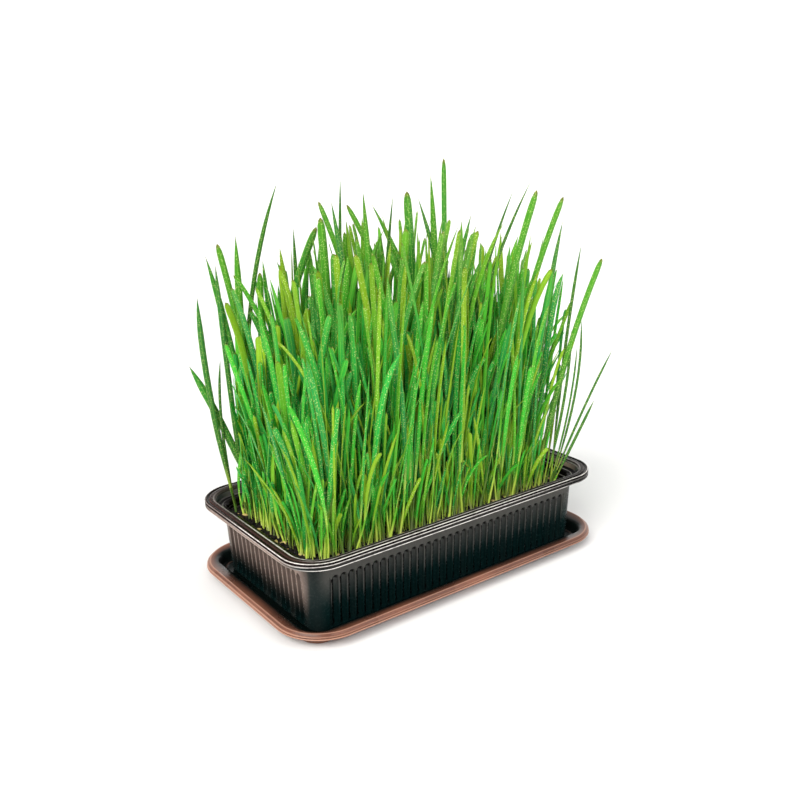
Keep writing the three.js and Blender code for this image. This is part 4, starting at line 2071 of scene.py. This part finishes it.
    def sow(self) -> None:
        """Lays out the line of every stem and leaf."""
        for blade in STANDING_BLADES:
            leaf = blade.leaf(self.ground / MM)
            self.draw_stem(leaf.spine, leaf.start + self.standing_lap, self.standing_radius)
            self.draw_leaf(leaf, self.standing_rings)
        for root in self.root_places():
            self.plant(root)
        for _ in range(self.undergrowth):
            x, y = self.draw(-self.reach.x, self.reach.x), self.draw(-self.reach.y, self.reach.y)
            self.sprout(Vector((x, y, self.ground)), UNDERGROWTH, self.undergrowth_height)
        for _ in range(self.fringe):
            self.sprout(self.edge_place(), FRINGE, self.fringe_height)

    def grow(self) -> None:
        """Grows every stem and leaf along its line, wets the leaves, and installs them."""
        self.sow()
        tree = strand_tree()
        base = self.stems.as_object("stem_lines")
        stems = tree.run(base, "stems", {**STEM_BODY, "Finish": StemFinish().material()})
        drop(base)
        install(stems, "grass", "turf")
        water = DewFinish().material()
        for tone, lines in self.leaves.items():
            base = lines.as_object("leaf_lines")
            values = {**LEAF_BODY, "Finish": LeafFinish(tone).material()}
            leaves = tree.run(base, f"leaves_{tone.value[0]}", values)
            drop(base)
            install(leaves, "grass", "turf")
            self.sprinkle(leaves, tone, water)

    def sprinkle(self, leaves: bpy.types.Object, tone: Tone, water: bpy.types.Material) -> None:
        """Puts drops of dew on the leaves that carry it.

        Args:
            leaves: The leaves of one tone.
            tone: Their tone.
            water: The drops' finish.
        """
        mesh = leaves.data.copy()
        dew = [0.0] * len(mesh.vertices)
        mesh.attributes["dew"].data.foreach_get("value", dew)
        carry(mesh, "cover", dew)
        base = add_object("dew_base", mesh)
        values = {**DEW_DROPS, "Finish": water}
        drops = self.strew_tree.run(base, f"dew_on_{tone.value[0]}", values)
        drop(base)
        install(drops, "grass", "turf")

    def mat_side(self, side: int) -> list[tuple[float, float]]:
        """Evenly spaced places along a side of the mat."""
        whole, steps = self.half[side % 2] * 2 - 2 * self.corner, self.mat_side_steps
        return [(whole * (step / steps - MIDDLE), 0.0) for step in range(1, steps)]

    def lay_mat(self) -> None:
        """Lays the mat of roots and compost that the seedlings stand in, with crumbs and grain on it."""
        edge = Ring(self.half.x * 2, self.half.y * 2, self.corner, self.low.z)
        stations = walk_round(self.mat_corner_steps, self.mat_side)
        outline = [Vector(edge.point(station)) for station in stations]
        points = list(outline)
        for ring in range(self.mat_rings):
            size = 1 - ring / self.mat_rings * self.mat_reach
            for spot in outline:
                place = Vector((spot.x, spot.y, 0)) * size * self.lumps_per_metre
                rough = noise.fractal(place, 1.0, 2.0, self.lump_octaves)
                lump = rough * self.lump_height - self.lump_depth
                points.append(Vector((spot.x * size, spot.y * size, self.ground + lump * MM)))
        count = len(outline)
        faces: list[tuple[int, ...]] = [tuple(range(count))[::-1]]
        for row in range(self.mat_rings):
            for column in range(count):
                low, after = row * count, (column + 1) % count
                faces.append((low + column, low + after, low + count + after, low + count + column))
        faces.append(tuple(range(self.mat_rings * count, len(points))))
        mesh = bpy.data.meshes.new("root_mat")
        mesh.from_pydata(points, [], faces)
        mesh.shade_smooth()
        compost = CompostFinish().material()
        mesh.materials.append(compost)
        mat = add_object("root_mat", mesh)
        install(mat, "compost", "turf")
        self.strew(mat, compost)
        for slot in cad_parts["soil"].material_slots:
            slot.material = compost

    def strew(self, mat: bpy.types.Object, compost: bpy.types.Material) -> None:
        """Strews crumbs and grain over the mat, with most of the grain at its right end.

        Args:
            mat: The mat.
            compost: The crumbs' finish.
        """
        points = [point.co for point in mat.data.vertices]
        upper = [float(point.z > self.ground - self.strewn_depth) for point in points]
        least, more = self.grain_shares
        sown = [least + more * eased(*self.grain_along, point.x / self.half.x) for point in points]
        kinds = (
            ("crumbs", "compost", {**CRUMBS, "Finish": compost}, upper),
            (
                "sown_grain", "grass", {**SOWN_GRAIN, "Finish": GrainFinish().material()},
                [top * share for top, share in zip(upper, sown)],
            ),
        )
        for name, slot, values, cover in kinds:
            mesh = mat.data.copy()
            carry(mesh, "cover", cover)
            base = add_object("strewn_base", mesh)
            install(self.strew_tree.run(base, name, values), slot, "turf")
            drop(base)


# ---------------------------------------------------------------------------------------------------
# Studio
# ---------------------------------------------------------------------------------------------------


@dataclass(frozen=True)
class Studio:
    """A pale floor that sweeps up into a round wall, soft lights and the camera."""

    eye: Vector = Vector((-0.2881, -0.3961, 0.2487))
    right: Vector = Vector((0.8042, -0.5939, -0.0226))
    up: Vector = Vector((0.1981, 0.2320, 0.9523))
    lens: float = 42.34
    sensor: float = 36.0
    clip: tuple[float, float] = (0.01, 100.0)

    floor_reach: float = 2.2
    floor_hole: float = 0.0001
    floor_sides: int = 96
    sweep: float = 0.9
    sweep_steps: int = 12
    wall_top: float = 1.5
    pale: Colour = (0.88, 0.88, 0.88, 1.0)
    floor_roughness: float = 0.9
    floor_gloss: float = 0.1

    aim: Vector = Vector((0, 0, 0.09))
    sun_from: Vector = Vector((-0.85, -0.28, 0.75))
    sun_width: float = 48.0
    sun_strength: float = 3.95
    sun_colour: Point = (1.0, 0.98, 0.94)
    strip_from: Vector = Vector((0.25, -1.0, 0.75))
    strip_size: tuple[float, float] = (1.2, 0.12)
    strip_power: float = 5.0
    room: Colour = (1.0, 1.0, 1.0, 1.0)
    room_strength: float = 0.62

    def set_camera(self) -> None:
        """Sets up the camera."""
        data = bpy.data.cameras.new("camera")
        data.lens, data.sensor_width = self.lens, self.sensor
        data.clip_start, data.clip_end = self.clip
        camera = bpy.data.objects.new("camera", data)
        back = self.right.cross(self.up)
        turn = Matrix((self.right, self.up, back)).transposed().to_4x4()
        camera.matrix_world = Matrix.Translation(self.eye) @ turn
        bpy.context.scene.collection.objects.link(camera)
        bpy.context.scene.camera = camera

    def floor_profile(self) -> list[tuple[float, float]]:
        """The floor's section, from its middle along the ground and up the wall.

        Returns:
            Radius and height of each point.
        """
        profile = [(self.floor_hole, 0.0), (self.floor_reach, 0.0)]
        for step in range(1, self.sweep_steps + 1):
            angle = step / self.sweep_steps * math.pi / 2
            out, rise = math.sin(angle) * self.sweep, (1 - math.cos(angle)) * self.sweep
            profile.append((self.floor_reach + out, rise))
        return profile + [(self.floor_reach + self.sweep, self.wall_top)]

    def lay_floor(self) -> None:
        """Lays the floor, which curves up into the wall."""
        around = self.floor_sides
        profile = self.floor_profile()
        angles = [turn * math.tau / around for turn in range(around)]
        points = [
            (radius * math.cos(angle), radius * math.sin(angle), height)
            for radius, height in profile
            for angle in angles
        ]
        faces = [
            (row * around + turn, (row + 1) * around + turn, (row + 1) * around + after, row * around + after)
            for row in range(len(profile) - 1)
            for turn in range(around)
            for after in [(turn + 1) % around]
        ]
        mesh = bpy.data.meshes.new("floor")
        mesh.from_pydata(points, [], faces)
        mesh.shade_smooth()
        shader = Shader("floor", self.floor_gloss)
        shader.set("Roughness", self.floor_roughness)
        shader.set("Base Color", self.pale)
        mesh.materials.append(shader.material)
        add_object("floor", mesh)

    def add_light(self, light: bpy.types.Light, place: Vector) -> None:
        """Hangs a light at a place, pointing at the middle of the object.

        Args:
            light: The light's data.
            place: Where it hangs.
        """
        lamp = bpy.data.objects.new(light.name, light)
        lamp.location = place
        lamp.rotation_euler = (self.aim - lamp.location).to_track_quat("-Z", "Y").to_euler()
        bpy.context.scene.collection.objects.link(lamp)

    def light(self) -> None:
        """Hangs the lights and fills the room with even light."""
        sun = bpy.data.lights.new("key", "SUN")
        sun.energy, sun.angle, sun.color = self.sun_strength, math.radians(self.sun_width), self.sun_colour
        self.add_light(sun, self.sun_from)
        strip = bpy.data.lights.new("strip", "AREA")
        strip.shape, strip.energy = "RECTANGLE", self.strip_power
        strip.size, strip.size_y = self.strip_size
        self.add_light(strip, self.strip_from)
        world = bpy.data.worlds.new("room")
        world.use_nodes = True
        background = world.node_tree.nodes["Background"]
        background.inputs["Color"].default_value = self.room
        background.inputs["Strength"].default_value = self.room_strength
        bpy.context.scene.world = world
        bpy.context.scene.view_settings.view_transform = "Standard"

    def build(self) -> None:
        """Sets up the whole studio."""
        self.set_camera()
        self.lay_floor()
        self.light()


def main() -> None:
    """Builds every part of the object in order."""
    logging.basicConfig(level=logging.INFO, format="%(message)s")
    Studio().build()
    DripSaucer().build()
    FlutedTray().build()
    turf = Turf()
    turf.lay_mat()
    turf.grow()


if __name__ == "__main__":
    main()
